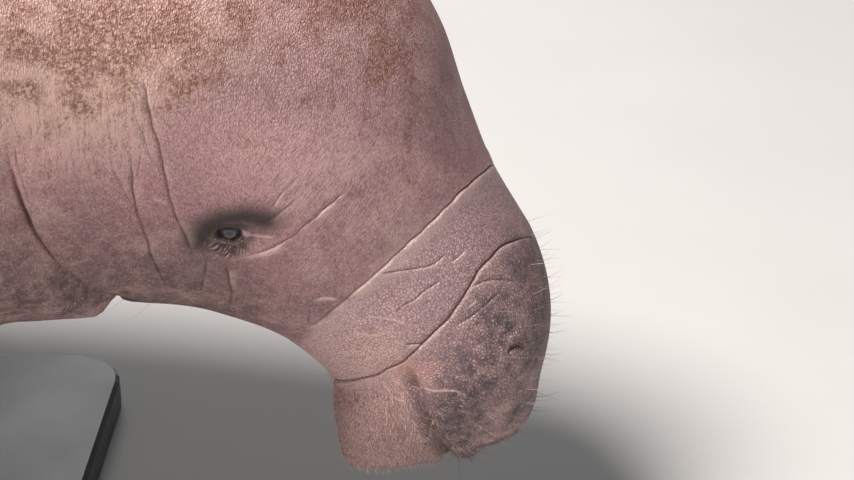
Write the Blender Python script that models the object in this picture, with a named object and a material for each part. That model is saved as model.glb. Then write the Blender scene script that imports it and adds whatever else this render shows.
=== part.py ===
"""A life-size model of a West Indian manatee, its head bent down to feed, on a display stand.

Metres, +Z up. The animal faces +X and its left side is +Y. The origin lies on the floor,
under the middle of the stand's base.
"""

import math

import bmesh
import bpy
import numpy as np
from mathutils import Matrix, Vector

# Driving sizes
BODY_LENGTH = 3.0            # from the muzzle's front to the tail's tip, along the body's axis
MUZZLE_X = 1.150             # where that axis leaves the muzzle, forward of the base's middle
MUZZLE_Z = 0.135             # and above the floor
GAP = 0.0003                 # between neighbouring pieces

# The body's axis and its sections, from the muzzle's front to the tail's tip.
# back: distance along the axis; pitch: how far the axis points down, in degrees;
# half: half width; above, below: from the axis to the back and to the belly;
# square: 2 is an ellipse, more is boxier; narrow: how much the underside is drawn in.
STATIONS = (
    # back  pitch  half  above  below  square  narrow
    (0.00, 64, 0.080, 0.062, 0.156, 2.30, 0.35),    # face of the muzzle
    (0.04, 64, 0.088, 0.082, 0.146, 2.30, 0.34),
    (0.09, 61, 0.094, 0.100, 0.131, 2.30, 0.33),    # nostrils, chin
    (0.14, 56, 0.096, 0.106, 0.112, 2.20, 0.24),    # corner of the mouth
    (0.20, 52, 0.106, 0.114, 0.118, 2.10, 0.12),    # crease behind the muzzle
    (0.27, 51, 0.124, 0.136, 0.150, 2.10, 0.08),
    (0.33, 50, 0.140, 0.160, 0.194, 2.10, 0.05),    # eyes
    (0.42, 41, 0.160, 0.179, 0.272, 2.10, 0.03),    # back of the head
    (0.52, 26, 0.183, 0.187, 0.320, 2.10, 0.00),
    (0.62, 12, 0.207, 0.195, 0.330, 2.10, 0.00),    # neck
    (0.80, -1, 0.254, 0.225, 0.316, 2.20, 0.00),    # shoulders
    (1.05, -3, 0.302, 0.262, 0.305, 2.25, 0.00),
    (1.35, -2, 0.325, 0.285, 0.300, 2.30, 0.00),    # navel, the widest place
    (1.70, 0, 0.300, 0.270, 0.270, 2.20, 0.00),
    (2.02, 2, 0.235, 0.215, 0.200, 2.10, 0.00),
    (2.25, 2, 0.170, 0.150, 0.120, 2.10, 0.00),     # root of the paddle
    (2.42, 1, 0.180, 0.085, 0.062, 2.10, 0.00),
    (2.60, 0, 0.285, 0.046, 0.036, 2.00, 0.00),
    (2.78, -1, 0.352, 0.030, 0.026, 2.00, 0.00),    # widest place of the paddle
    (2.92, -1, 0.330, 0.020, 0.020, 2.00, 0.00),
    (3.00, -1, 0.300, 0.016, 0.016, 2.00, 0.00),
)
BACK, PITCH, HALF, ABOVE, BELOW, SQUARE, NARROW = np.array(STATIONS, float).T
AXIS_STEPS = 1500

# How the sections close at the two ends: (length of the rounded stretch, roundness)
CLOSE_MUZZLE_SIDES = (0.105, 1.95)
CLOSE_MUZZLE_TOP = (0.149, 1.66)
CLOSE_MUZZLE_CHIN = (0.040, 2.6)
CLOSE_PADDLE_SIDES = (0.360, 2.2)
CLOSE_PADDLE_FACES = (0.050, 2.0)

# Where the body is parted, along the axis
HEAD_END = 0.46
NECK_END = 0.62
CHEST_END = 1.10
BELLY_END = 1.80
STOCK_END = 2.40

# The folds are laid out on a flat drawing sheet held against the right eye, and carried to
# the skin along sight lines from one point. The left side is its mirror image.
EYE_ON_SHEET = (MUZZLE_X - 0.225, -0.132, MUZZLE_Z + 0.250)
SHEET_TILT = 25.0            # degrees, how far the sight lines point down
SIGHT_DISTANCE = 1.3
SIGHT_FORWARD = 0.1525       # the sight point lies this far ahead of the eye
SIGHT_BELOW = 0.0054         # and its middle line passes this far below it

# Folds, each (depth, half width, raised lip on the muzzle's side, places), in millimetres.
# A place is (ahead of the eye's middle, above it) on the sheet. A negative lip is on the
# tail's side.
FOLDS = {
    "muzzle_crease": (3.6, 4.0, 2.6, (
        (38, -77), (61, -72), (75, -63), (88, -52), (113, -31), (138, -8),
        (154, 7), (168, 21), (181, 34), (194, 45), (205, 55))),
    "cheek_and_chin_crease": (4.0, 4.0, 1.8, (
        (74, -112), (89, -114), (108, -111), (124, -104), (134, -99), (145, -89), (152, -82),
        (166, -69), (177, -55), (187, -38), (196, -25), (206, -14), (216, -7), (226, -4),
        (238, -3))),
    "first_neck_fold": (2.8, 3.8, 0.8, ((-65, 110), (-55, 69), (-46, 28), (-34, -5), (-28, -16))),
    "second_neck_fold": (3.0, 3.8, 0.8, (
        (-76, 60), (-75, 45), (-73, 24), (-67, 3), (-59, -19), (-45, -47))),
    "throat_crease": (9.5, 4.5, 5.0, (
        (-172, 65), (-165, 37), (-156, 12), (-141, -15), (-125, -29), (-107, -40),
        (-92, -44), (-76, -47))),
    "fold_before_eye": (2.2, 3.2, -1.5, ((14, -18), (46, -5), (62, 8), (83, 26))),
    "fold_below_eye": (2.0, 3.2, 0.4, ((-4, -24), (0, -36), (1, -58))),
}
# These run on to the middle of the back or belly: (which end, degrees around the body there,
# and how much further back along the axis)
CROSSINGS = {"muzzle_crease": (-1, 90, 0.0), "cheek_and_chin_crease": (0, -90, 0.0),
             "throat_crease": (-1, -90, 0.0)}
CROSSING_STEPS = 8
LIP_REACH = 4.0              # a lip reaches this many half widths from its crease
THROAT_HOLLOW, THROAT_LIP = 0.022, 0.040     # the same reaches behind and ahead of the throat's

# The breast hangs over the throat's crease: height, how soon behind the crease it is full, how
# far back it reaches, and the degrees around the body over which it dies away
BREAST = (0.021, 0.024, 0.090, -55.0, -15.0)

# Eyes. Sizes of the lids' roll are in half sizes of the opening, from its middle.
EYE_PLACE = (0.0, -0.004)    # on the sheet: set deep, the ball shows higher than it lies
EYE_RADIUS = 0.0105
EYE_DEPTH = 0.0150           # from the cheek's level to the eyeball's middle
EYE_BACK, EYE_ANGLE = 0.335, -12.0       # its place along the axis and, in degrees, around it
LID_OPENING = (0.0095, 0.0055)
LID_OPENING_DEPTH = 0.006
LID_ROLL = 0.0024
LID_ROLL_PLACE, LID_ROLL_WIDTH = 1.45, 0.32
SOCKET = (0.032, 0.017)      # half sizes of the hollow around the lids
SOCKET_DEPTH = 0.0075

# Nostrils: a slit and a rim above it
NOSTRIL_PLACE = (0.222, -0.090)
NOSTRIL_HALF = 0.009
NOSTRIL_ARCH = 0.004
NOSTRIL_DEPTH, NOSTRIL_SLIT = 0.008, 0.0035
NOSTRIL_RIM, NOSTRIL_RIM_PLACE, NOSTRIL_RIM_WIDTH = 0.0025, 0.009, 0.005

# Mouth and chin, each (x, z)
MOUTH_CORNER = (MUZZLE_X - 0.088, MUZZLE_Z + 0.106)
MOUTH_FRONT = (MUZZLE_X - 0.049, MUZZLE_Z - 0.030)
CHIN_BACK = (MUZZLE_X - 0.168, MUZZLE_Z + 0.053)
MOUTH_END = 0.17             # the mouth lies wholly ahead of this place on the axis
LIP_GROOVE, LIP_GROOVE_WIDTH = 0.007, 0.005
# Each lip: height, place ahead of the groove, half width
UPPER_LIP = (0.0045, 0.016, 0.010)
LOWER_LIP = (0.0030, -0.013, 0.008)
# The upper lip's cleft: depth, half width. Its two lobes: height, place off the middle, width
LIP_CLEFT = (0.0065, 0.008)
LIP_LOBES = (0.0055, 0.036, 0.020)

# Flippers
FLIPPER_ROOT = (MUZZLE_X - 0.575, 0.170, MUZZLE_Z + 0.250)   # its middle, inside the chest
FLIPPER_AIM = (-0.46, 0.65, -0.60)       # where the flipper points, left side
FLIPPER_LENGTH = 0.50                    # from that middle to the tip
FLIPPER_PARTING = 0.150                  # from the root to the cut between chest and flipper
FLIPPER_SWEEP = 0.055                    # how far the tip curves back
FLIPPER_SECTIONS = (
    # along  half chord  half thickness
    (0.00, 0.085, 0.050),
    (0.25, 0.072, 0.041),
    (0.45, 0.070, 0.031),
    (0.70, 0.078, 0.021),
    (0.88, 0.074, 0.014),
    (1.00, 0.066, 0.010),
)
FLIPPER_ROUNDING = (0.22, 2.2)

# Nails: a row near the tip that curves back towards its ends
NAILS = 4
NAIL_SIZE = (0.0090, 0.0070, 0.0030)     # half length, half width, half thickness
NAIL_SPREAD = 0.088
NAIL_ROW, NAIL_ROW_CURVE = 0.955, 0.34   # in flipper lengths from the root

# Stand
BASE_SIZE = (1.50, 0.62, 0.036)
BASE_CORNER = 0.060
BASE_EDGE = 0.004
ROD_PLACES = {"front": 0.36, "rear": -0.36}
ROD_RADIUS = 0.018
ROD_SOCKET = 0.014           # how far a rod reaches into the belly

# Fineness of the solids
FRONT_RINGS, FRONT_SIDES = 190, 168
FRONT_TRIANGLES = 4300
FRONT_CAP = 0.03             # the rounded end of the muzzle, along the axis
FRONT_SPARE = 0.05           # how far the front runs on past the neck, to be cut off
BODY_SIDES = 40
FLIPPER_SIDES = 16


def between(x, knots, values):
    """Smooth curve through the knots that doesn't overshoot them."""
    step = np.diff(knots)
    slope = np.diff(values) / step
    tangent = np.zeros(len(values))
    for i in range(1, len(values) - 1):
        if slope[i - 1] * slope[i] > 0:
            near, far = 2 * step[i] + step[i - 1], step[i] + 2 * step[i - 1]
            tangent[i] = (near + far) / (near / slope[i - 1] + far / slope[i])
    tangent[0], tangent[-1] = slope[0], slope[-1]
    x = np.clip(x, knots[0], knots[-1])
    i = np.clip(np.searchsorted(knots, x, side="right") - 1, 0, len(step) - 1)
    t = (x - knots[i]) / step[i]
    return ((1 + 2 * t) * (1 - t) ** 2 * values[i] + t * (1 - t) ** 2 * step[i] * tangent[i]
            + t * t * (3 - 2 * t) * values[i + 1] + t * t * (t - 1) * step[i] * tangent[i + 1])


def closing(distance, reach, roundness):
    """From 0 at an end of the body to 1 where its rounded stretch is over."""
    t = np.clip(1 - distance / reach, 0, 1)
    return (1 - t ** roundness) ** (1 / roundness)


def rise(x, low, high):
    """Smooth step from 0 at low to 1 at high."""
    t = np.clip((x - low) / (high - low), 0, 1)
    return t * t * (3 - 2 * t)


def bump(x):
    """A bell of height 1 that has fallen to about a third where x is 1."""
    return np.exp(-x ** 2)


def axis_curve():
    """The axis in the plane of symmetry, summed up from its pitch."""
    along = np.linspace(0, BODY_LENGTH, AXIS_STEPS + 1)
    pitch = np.radians(between(along, BACK, PITCH))
    step = along[1] - along[0]

    def summed(f):
        return np.concatenate([[0], np.cumsum((f[1:] + f[:-1]) / 2 * step)])

    return along, MUZZLE_X - summed(np.cos(pitch)), MUZZLE_Z + summed(np.sin(pitch))


AXIS = axis_curve()


def axis_frame(back):
    """A point of the axis, the way the body faces there, and the way its back is."""
    pitch = math.radians(float(between(back, BACK, PITCH)))
    point = Vector((np.interp(back, AXIS[0], AXIS[1]), 0, np.interp(back, AXIS[0], AXIS[2])))
    ahead = Vector((math.cos(pitch), 0, -math.sin(pitch)))
    up = Vector((math.sin(pitch), 0, math.cos(pitch)))
    return point, ahead, up


def plain_skin(back, angle):
    """The body's surface without folds. Angle 0 is the right side, 90 degrees the back."""
    pitch = np.radians(between(back, BACK, PITCH))
    tail = BODY_LENGTH - back
    half = (between(back, BACK, HALF) * closing(back, *CLOSE_MUZZLE_SIDES)
            * closing(tail, *CLOSE_PADDLE_SIDES))
    above = (between(back, BACK, ABOVE) * closing(back, *CLOSE_MUZZLE_TOP)
             * closing(tail, *CLOSE_PADDLE_FACES))
    below = (between(back, BACK, BELOW) * closing(back, *CLOSE_MUZZLE_CHIN)
             * closing(tail, *CLOSE_PADDLE_FACES))
    power = between(back, BACK, SQUARE)
    c, s = np.cos(angle), np.sin(angle)
    reach = (np.abs(c) ** power + np.abs(s) ** power) ** (-1 / power)
    drawn_in = 1 - between(back, BACK, NARROW) * np.clip(-s, 0, 1) ** 1.5
    side = half * reach * c * drawn_in
    high = np.where(s > 0, above, below) * reach * s
    x = np.interp(back, AXIS[0], AXIS[1]) + high * np.sin(pitch)
    z = np.interp(back, AXIS[0], AXIS[2]) + high * np.cos(pitch)
    return np.stack([x, -side, z], -1)


def outward(back, angle):
    """Unit normals of the plain skin, from two short steps along it."""
    step = 1e-4
    along = plain_skin(np.minimum(back + step, BODY_LENGTH), angle) - plain_skin(
        np.maximum(back - step, 0), angle)
    around = plain_skin(back, angle + step) - plain_skin(back, angle - step)
    normal = np.cross(around, along)
    length = np.linalg.norm(normal, axis=-1, keepdims=True)
    return normal / np.maximum(length, 1e-15)


def on_sheet(points):
    """Where points of either side show on the drawing sheet."""
    tilt = math.radians(SHEET_TILT)
    look = np.array([0, math.cos(tilt), -math.sin(tilt)])
    lift = np.array([0, math.sin(tilt), math.cos(tilt)])
    sight = (np.array(EYE_ON_SHEET) + [SIGHT_FORWARD, 0, 0]
             - SIGHT_BELOW * lift - SIGHT_DISTANCE * look)
    ray = points * [1, np.sign(EYE_ON_SHEET[1]), 1]
    ray[..., 1] = -np.abs(points[..., 1])
    ray = ray - sight
    scale = SIGHT_DISTANCE / (ray @ look)
    return np.stack([ray[..., 0] * scale + SIGHT_FORWARD,
                     (ray @ lift) * scale - SIGHT_BELOW], -1), ray


def right_side_chart():
    """A fine grid of the head's and neck's right side, with its places on the sheet."""
    back, angle = np.meshgrid(np.linspace(0.004, 0.80, 400),
                              np.linspace(-math.pi / 2, math.pi / 2, 240), indexing="ij")
    points = plain_skin(back, angle)
    normals = outward(back, angle)
    places, ray = on_sheet(points)
    seen = np.sum(normals * ray, -1) < 0
    return points[seen], normals[seen], places[seen], back[seen], angle[seen]


CHART = right_side_chart()


def carried_to_skin(ahead, above):
    """The skin's point, normal, distance back and angle where the sheet has this place."""
    places = CHART[2]
    nearest = np.argmin(np.hypot(places[:, 0] - ahead, places[:, 1] - above))
    return [column[nearest] for column in (CHART[0], CHART[1], CHART[3], CHART[4])]


def fold_lines():
    """Each fold as closely spaced points on the right side's skin."""
    lines = []
    for name, (depth, width, lip, places) in FOLDS.items():
        places = np.array(places, float) / 1000
        knots = np.arange(len(places), dtype=float)
        fine = np.linspace(0, knots[-1], 6 * (len(places) - 1) + 1)
        drawn = np.stack([between(fine, knots, places[:, i]) for i in (0, 1)], -1)
        found = [carried_to_skin(*place) for place in drawn]
        back = np.array([f[2] for f in found])
        angle = np.array([f[3] for f in found])
        end, target, further = CROSSINGS.get(name, (None, 0, 0))
        if end is not None:
            turn = np.linspace(angle[end], math.radians(target), CROSSING_STEPS)[1:]
            way = np.linspace(back[end], back[end] + further, CROSSING_STEPS)[1:]
            if end == 0:
                back, angle = np.append(way[::-1], back), np.append(turn[::-1], angle)
            else:
                back, angle = np.append(back, way), np.append(angle, turn)
        points = plain_skin(back, angle)
        across = np.cross(np.gradient(points, axis=0), outward(back, angle))
        across /= np.maximum(np.linalg.norm(across, axis=-1, keepdims=True), 1e-9)
        to_muzzle = np.sum(across * (plain_skin(back - 1e-4, angle) - points))
        across *= np.sign(to_muzzle) * (-1 if lip < 0 else 1)
        lines.append((depth / 1000, width / 1000, abs(lip) / 1000, end,
                      name == "throat_crease", points, across))
    return lines


FOLD_LINES = fold_lines()


def face_frame(ahead, above):
    """A point of the right side with its outward, forward and upward directions."""
    point, normal, _, _ = carried_to_skin(ahead, above)
    forward = np.array([1.0, 0, 0]) - normal[0] * normal
    forward /= np.linalg.norm(forward)
    return point, normal, forward, np.cross(normal, forward)


EYE_FRAME = face_frame(*EYE_PLACE)
NOSTRIL_FRAME = face_frame(*NOSTRIL_PLACE)


def fold_relief(points, angle):
    """Grooves and raised lips of the folds, and the breast; points are on the right side."""
    relief = np.zeros(len(points))
    breast, breast_rise, breast_reach, breast_low, breast_high = BREAST
    for depth, width, lip, end, throat, line, across in FOLD_LINES:
        reach = 3 * breast_reach if throat else 7 * width
        close = np.all((points > line.min(0) - reach) & (points < line.max(0) + reach), -1)
        here = points[close]
        if not len(here):
            continue
        best = np.full(len(here), 1e9)
        place, side = np.zeros((2, len(here)))
        for i in range(len(line) - 1):
            start, span = line[i], line[i + 1] - line[i]
            t = np.clip((here - start) @ span / max(span @ span, 1e-12), 0, 1)
            off = here - start - t[:, None] * span
            away = np.linalg.norm(off, axis=-1)
            closer = away < best
            best[closer] = away[closer]
            place[closer] = (i + t[closer]) / (len(line) - 1)
            side[closer] = (off @ across[i])[closer]
        fade = np.ones(len(here))
        if end != 0:
            fade *= rise(place, -0.02, 0.10)
        if end != -1:
            fade *= rise(1.02 - place, 0, 0.08)
        valley = bump(best / np.where(side < 0, THROAT_HOLLOW if throat else width, width))
        ahead = rise(side, -0.2 * width, 0.6 * width)
        roll = ahead * (1 - bump(best / width)) * bump(
            best / (THROAT_LIP if throat else LIP_REACH * width))
        relief[close] += fade * (lip * roll - depth * valley)
        if throat:
            low = 1 - rise(np.degrees(angle[close]), breast_low, breast_high)
            relief[close] += (breast * low * (1 - ahead) * rise(best, 0, breast_rise)
                              * bump(best / breast_reach))
    return relief


def eye_relief(points):
    """The hollow round the eye, the roll of the lids and the opening between them."""
    centre, normal, forward, upward = EYE_FRAME
    offset = points - centre
    u, v = offset @ forward, offset @ upward
    near = np.linalg.norm(offset, axis=-1) < 3 * SOCKET[0]
    hollow = -SOCKET_DEPTH * bump(u / SOCKET[0]) * bump(v / SOCKET[1])
    ring = np.hypot(u / LID_OPENING[0], v / LID_OPENING[1])
    lids = LID_ROLL * bump((ring - LID_ROLL_PLACE) / LID_ROLL_WIDTH)
    opening = -LID_OPENING_DEPTH * (1 - rise(ring, 0.80, 1.15))
    return np.where(near, hollow + lids + opening, 0)


def nostril_relief(points):
    """A crescent slit, arched towards the forehead, with a low rim above it."""
    centre, normal, forward, upward = NOSTRIL_FRAME
    offset = points - centre
    u, v = offset @ forward, offset @ upward
    near = np.linalg.norm(offset, axis=-1) < 5 * NOSTRIL_HALF
    arch = v - NOSTRIL_ARCH * (1 - (u / NOSTRIL_HALF) ** 2)
    inside = 1 - rise(np.abs(u), 0.8 * NOSTRIL_HALF, 1.3 * NOSTRIL_HALF)
    slit = -NOSTRIL_DEPTH * bump(arch / NOSTRIL_SLIT) * inside
    rim = NOSTRIL_RIM * bump((arch - NOSTRIL_RIM_PLACE) / NOSTRIL_RIM_WIDTH) * inside
    return np.where(near, slit + rim, 0)


def mouth_relief(points, back):
    """The line of the mouth, the lips on both sides of it, and the cleft of the upper lip."""
    corner, front = np.array(MOUTH_CORNER), np.array(MOUTH_FRONT)
    way = (front - corner) / np.linalg.norm(front - corner)
    flat = points[:, [0, 2]] - corner
    along = flat @ way
    ahead = flat @ np.array([-way[1], way[0]])
    on_mouth = rise(along, -0.006, 0.016) * (back < MOUTH_END)
    groove = -LIP_GROOVE * bump(ahead / LIP_GROOVE_WIDTH)
    upper, lower = (height * bump((ahead - place) / width)
                    for height, place, width in (UPPER_LIP, LOWER_LIP))
    side = np.abs(points[:, 1])
    face = rise(0.055 - back, 0, 0.030) * rise(ahead, 0.004, 0.020)
    cleft = -LIP_CLEFT[0] * bump(side / LIP_CLEFT[1]) * face
    lobes = LIP_LOBES[0] * bump((side - LIP_LOBES[1]) / LIP_LOBES[2]) * face
    return on_mouth * (groove + upper + lower) + cleft + lobes


def skin(back, angle):
    """The body's surface with its folds, lids, nostrils and mouth."""
    shape = np.broadcast(back, angle).shape
    back = np.broadcast_to(back, shape).ravel()
    angle = (np.broadcast_to(angle, shape).ravel() + math.pi) % (2 * math.pi) - math.pi
    points = plain_skin(back, angle)
    normals = outward(back, angle)
    right = points * [1, 1, 1]
    right[:, 1] = -np.abs(points[:, 1])
    right_angle = np.arcsin(np.sin(angle))
    relief = (fold_relief(right, right_angle) + eye_relief(right)
              + nostril_relief(right) + mouth_relief(right, back))
    return (points + normals * relief[:, None]).reshape(shape + (3,))


def clear_scene():
    for thing in list(bpy.data.objects):
        bpy.data.objects.remove(thing)


def new_collection(name):
    collection = bpy.data.collections.new(name)
    bpy.context.scene.collection.children.link(collection)
    return collection


def material(name, color, roughness, metallic=0.0):
    made = bpy.data.materials.new(name)
    made.use_nodes = True
    shader = made.node_tree.nodes["Principled BSDF"]
    shader.inputs["Base Color"].default_value = (*color, 1)
    shader.inputs["Roughness"].default_value = roughness
    shader.inputs["Metallic"].default_value = metallic
    return made


def mesh_object(name, bm, collection, surface=None):
    mesh = bpy.data.meshes.new(name)
    bmesh.ops.recalc_face_normals(bm, faces=bm.faces)
    bm.to_mesh(mesh)
    bm.free()
    made = bpy.data.objects.new(name, mesh)
    collection.objects.link(made)
    if surface:
        mesh.materials.append(surface)
        mesh.shade_smooth()
        mesh.set_sharp_from_angle(angle=math.radians(40))
    return made


def lofted(rings):
    """A closed body through rings of equally many points; a ring of one point is a pole."""
    bm = bmesh.new()
    rows = [[bm.verts.new(p) for p in ring] for ring in rings]
    for lower, upper in zip(rows, rows[1:]):
        count = max(len(lower), len(upper))
        for i in range(count):
            j = (i + 1) % count
            corners = [lower[i % len(lower)], lower[j % len(lower)],
                       upper[j % len(upper)], upper[i % len(upper)]]
            bm.faces.new(list(dict.fromkeys(corners)))
    for row in (rows[0], rows[-1]):
        if len(row) > 1:
            bm.faces.new(row)
    return bm


def crowded(count, low, high, spots):
    """Values from low to high that lie closer together round the given (place, width, gain)."""
    fine = np.linspace(low, high, 4001)
    weight = np.ones_like(fine)
    for place, width, gain in spots:
        weight += gain * np.exp(-((fine - place) / width) ** 2)
    total = np.concatenate([[0], np.cumsum((weight[1:] + weight[:-1]) / 2)])
    return np.interp(np.linspace(0, total[-1], count), total, fine)


def front_of_body(collection):
    """Head, jaw and neck in one closed mesh, fine first and then thinned where it is plain."""
    cap = FRONT_CAP * (1 - np.cos(np.linspace(0, math.pi / 2, 13)[1:-1]))
    rest = crowded(FRONT_RINGS, FRONT_CAP, NECK_END + FRONT_SPARE,
                   [(EYE_BACK, 0.022, 3.0), (0.10, 0.05, 0.8)])
    half = crowded(FRONT_SIDES // 2 + 1, -math.pi / 2, math.pi / 2,
                   [(math.radians(EYE_ANGLE), math.radians(10), 3.0)])
    angles = np.concatenate([half[:-1], (math.pi - half[::-1])[:-1]])
    rings = [skin(0.0, np.array([0.0]))]
    rings += [skin(back, angles) for back in np.concatenate([cap, rest])]
    bm = lofted(rings)
    made = mesh_object("front", bm, collection)
    thin = made.modifiers.new("thin", "DECIMATE")
    triangles = sum(len(p.vertices) - 2 for p in made.data.polygons)
    thin.ratio = FRONT_TRIANGLES / triangles
    thin.use_symmetry = True
    thin.symmetry_axis = "Y"
    return applied(made)


def applied(thing):
    """The object with its modifiers made part of its mesh."""
    bpy.context.view_layer.update()
    seen = thing.evaluated_get(bpy.context.evaluated_depsgraph_get())
    mesh = bpy.data.meshes.new_from_object(seen)
    thing.modifiers.clear()
    thing.data = mesh
    return thing


def largest_body(thing):
    """Keeps only the largest closed surface of a mesh."""
    bm = bmesh.new()
    bm.from_mesh(thing.data)
    left, groups = set(bm.verts), []
    while left:
        group, edge = set(), [left.pop()]
        while edge:
            vertex = edge.pop()
            group.add(vertex)
            for link in vertex.link_edges:
                other = link.other_vert(vertex)
                if other in left:
                    left.discard(other)
                    edge.append(other)
        groups.append(group)
    keep = max(groups, key=len)
    bmesh.ops.delete(bm, geom=[v for v in bm.verts if v not in keep], context="VERTS")
    bm.to_mesh(thing.data)
    bm.free()
    return thing


def cut(thing, cutter, operation="DIFFERENCE", solver="EXACT"):
    boolean = thing.modifiers.new(cutter.name, "BOOLEAN")
    boolean.operation = operation
    boolean.solver = solver
    boolean.object = cutter


def hidden(cutter):
    cutter.hide_render = True
    cutter.display_type = "WIRE"
    return cutter


def block_behind(name, back, collection, behind=True):
    """A large block on one side of the plane where the body is parted."""
    point, ahead, up = axis_frame(back)
    size = 1.6
    side = -1 if behind else 1
    bm = bmesh.new()
    bmesh.ops.create_cube(bm, size=size)
    turn = Matrix((ahead, Vector((0, 1, 0)), up)).transposed().to_4x4()
    middle = point + ahead * side * (size / 2 - GAP / 2)
    bmesh.ops.transform(bm, matrix=Matrix.Translation(middle) @ turn, verts=bm.verts)
    return hidden(mesh_object(name, bm, collection))


def jaw_wedge(name, grown, collection):
    """The space of the lower jaw: behind the line of the mouth, below the cheek's crease."""
    corner, front, back = (Vector(p) for p in (MOUTH_CORNER, MOUTH_FRONT, CHIN_BACK))
    to_front, to_back = (front - corner).normalized(), (back - corner).normalized()
    shift = -(to_front + to_back).normalized()
    half_angle = to_front.angle(to_back) / 2
    tip = corner + shift * grown / math.sin(half_angle)
    reach, half_width = 0.4, 0.3
    outline = [tip, tip + to_front * reach, tip + (to_front + to_back) * reach,
               tip + to_back * reach]
    bm = bmesh.new()
    face = bm.faces.new([bm.verts.new((p.x, -half_width, p.y)) for p in outline])
    swept = bmesh.ops.extrude_face_region(bm, geom=[face])["geom"]
    bmesh.ops.translate(bm, vec=(0, 2 * half_width, 0),
                        verts=[g for g in swept if isinstance(g, bmesh.types.BMVert)])
    return hidden(mesh_object(name, bm, collection))


def eyeball(name, side, radius, collection, surface=None):
    """A ball set below the cheek's level, its pole facing out; side is -1 right, 1 left."""
    centre, normal, _, _ = EYE_FRAME
    middle = centre - normal * EYE_DEPTH
    middle = Vector((middle[0], -side * middle[1], middle[2]))
    facing = Vector((normal[0], -side * normal[1], normal[2]))
    bm = bmesh.new()
    bmesh.ops.create_uvsphere(bm, u_segments=14, v_segments=9, radius=radius)
    turn = facing.to_track_quat("Z", "Y").to_matrix().to_4x4()
    bmesh.ops.transform(bm, matrix=Matrix.Translation(middle) @ turn, verts=bm.verts)
    return mesh_object(name, bm, collection, surface)


def head_jaw_and_neck(parts, cutters, skins):
    """One body, parted by planes into head, lower jaw and neck, with sockets for the eyes."""
    front = front_of_body(cutters)
    behind_head = block_behind("cut_behind_head", HEAD_END, cutters)
    before_neck = block_behind("cut_before_neck", HEAD_END, cutters, behind=False)
    behind_neck = block_behind("cut_behind_neck", NECK_END, cutters)
    nodes = {}
    for name in ("head", "lower_jaw", "neck"):
        node = front.copy()
        node.data = front.data.copy()
        node.name = name
        cutters.objects.link(node)
        nodes[name] = node
    cut(nodes["head"], jaw_wedge("jaw_space", GAP / 2, cutters))
    cut(nodes["head"], behind_head)
    for side, word in ((-1, "right"), (1, "left")):
        socket = hidden(eyeball("socket_" + word, side, EYE_RADIUS + GAP, cutters))
        cut(nodes["head"], socket)
        eyeball("eye_" + word, side, EYE_RADIUS, parts, skins["eye"])
    cut(nodes["lower_jaw"], jaw_wedge("jaw_body", -GAP / 2, cutters), "INTERSECT")
    cut(nodes["neck"], before_neck)
    cut(nodes["neck"], behind_neck)
    for name, node in nodes.items():
        applied(node)
        largest_body(node)
        cutters.objects.unlink(node)
        parts.objects.link(node)
        node.data.materials.clear()
        node.data.materials.append(skins[name])
        node.data.shade_smooth()
        node.data.set_sharp_from_angle(angle=math.radians(40))
    bpy.data.objects.remove(front)


def ring_at(back, angles, shift):
    """A ring of the skin, laid flat across the axis and moved ahead by shift."""
    point, ahead, _ = axis_frame(back)
    ring = skin(back, angles)
    off_plane = (ring - np.array(point)) @ np.array(ahead)
    return ring + np.outer(shift - off_plane, ahead)


def length_of_body(name, start, end, count, collection, surface):
    """A stretch of the trunk between two plane faces, or out to the tail's tip."""
    angles = np.linspace(-math.pi, math.pi, BODY_SIDES, endpoint=False)
    rings = [ring_at(start, angles, -GAP / 2)]
    if end < BODY_LENGTH:
        rings += [ring_at(b, angles, 0) for b in np.linspace(start, end, count + 1)[1:-1]]
        rings.append(ring_at(end, angles, GAP / 2))
    else:
        bend = np.sin(np.linspace(0, math.pi / 2, count + 1)[1:-1])
        rings += [ring_at(start + (end - start) * b, angles, 0) for b in bend]
        rings.append(skin(BODY_LENGTH, np.array([0.0])))
    return mesh_object(name, lofted(rings), collection, surface)


def flipper_frame(side):
    aim = Vector((FLIPPER_AIM[0], side * FLIPPER_AIM[1], FLIPPER_AIM[2])).normalized()
    chord = (Vector((1, 0, 0)) - aim * aim.x).normalized()
    face = chord.cross(aim) * side
    root = Vector((FLIPPER_ROOT[0], side * FLIPPER_ROOT[1], FLIPPER_ROOT[2]))
    return root, aim, chord, face


def flipper_section(side, along):
    """The middle of the flipper's section there, with its half chord and half thickness."""
    root, aim, chord, _ = flipper_frame(side)
    place, half_chord, half_thick = np.array(FLIPPER_SECTIONS).T
    t = along / FLIPPER_LENGTH
    end = float(closing(1 - t, *FLIPPER_ROUNDING))
    wide = float(between(t, place, half_chord)) * end
    thick = float(between(t, place, half_thick)) * end ** 0.5
    return root + aim * along - chord * FLIPPER_SWEEP * t * t, wide, thick


def flipper_ring(side, along, count):
    """The outline of that section, across the flipper; a single point at the tip."""
    _, _, chord, face = flipper_frame(side)
    middle, wide, thick = flipper_section(side, along)
    if wide < 1e-6:
        return [middle]
    turns = np.linspace(0, 2 * math.pi, count, endpoint=False)
    return [middle + chord * wide * math.cos(a) + face * thick * math.sin(a) for a in turns]


def flipper_stump(name, side, collection):
    rings = [flipper_ring(side, a, FLIPPER_SIDES)
             for a in (0.02, 0.09, FLIPPER_PARTING - GAP / 2)]
    return hidden(mesh_object(name, lofted(rings), collection))


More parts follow.
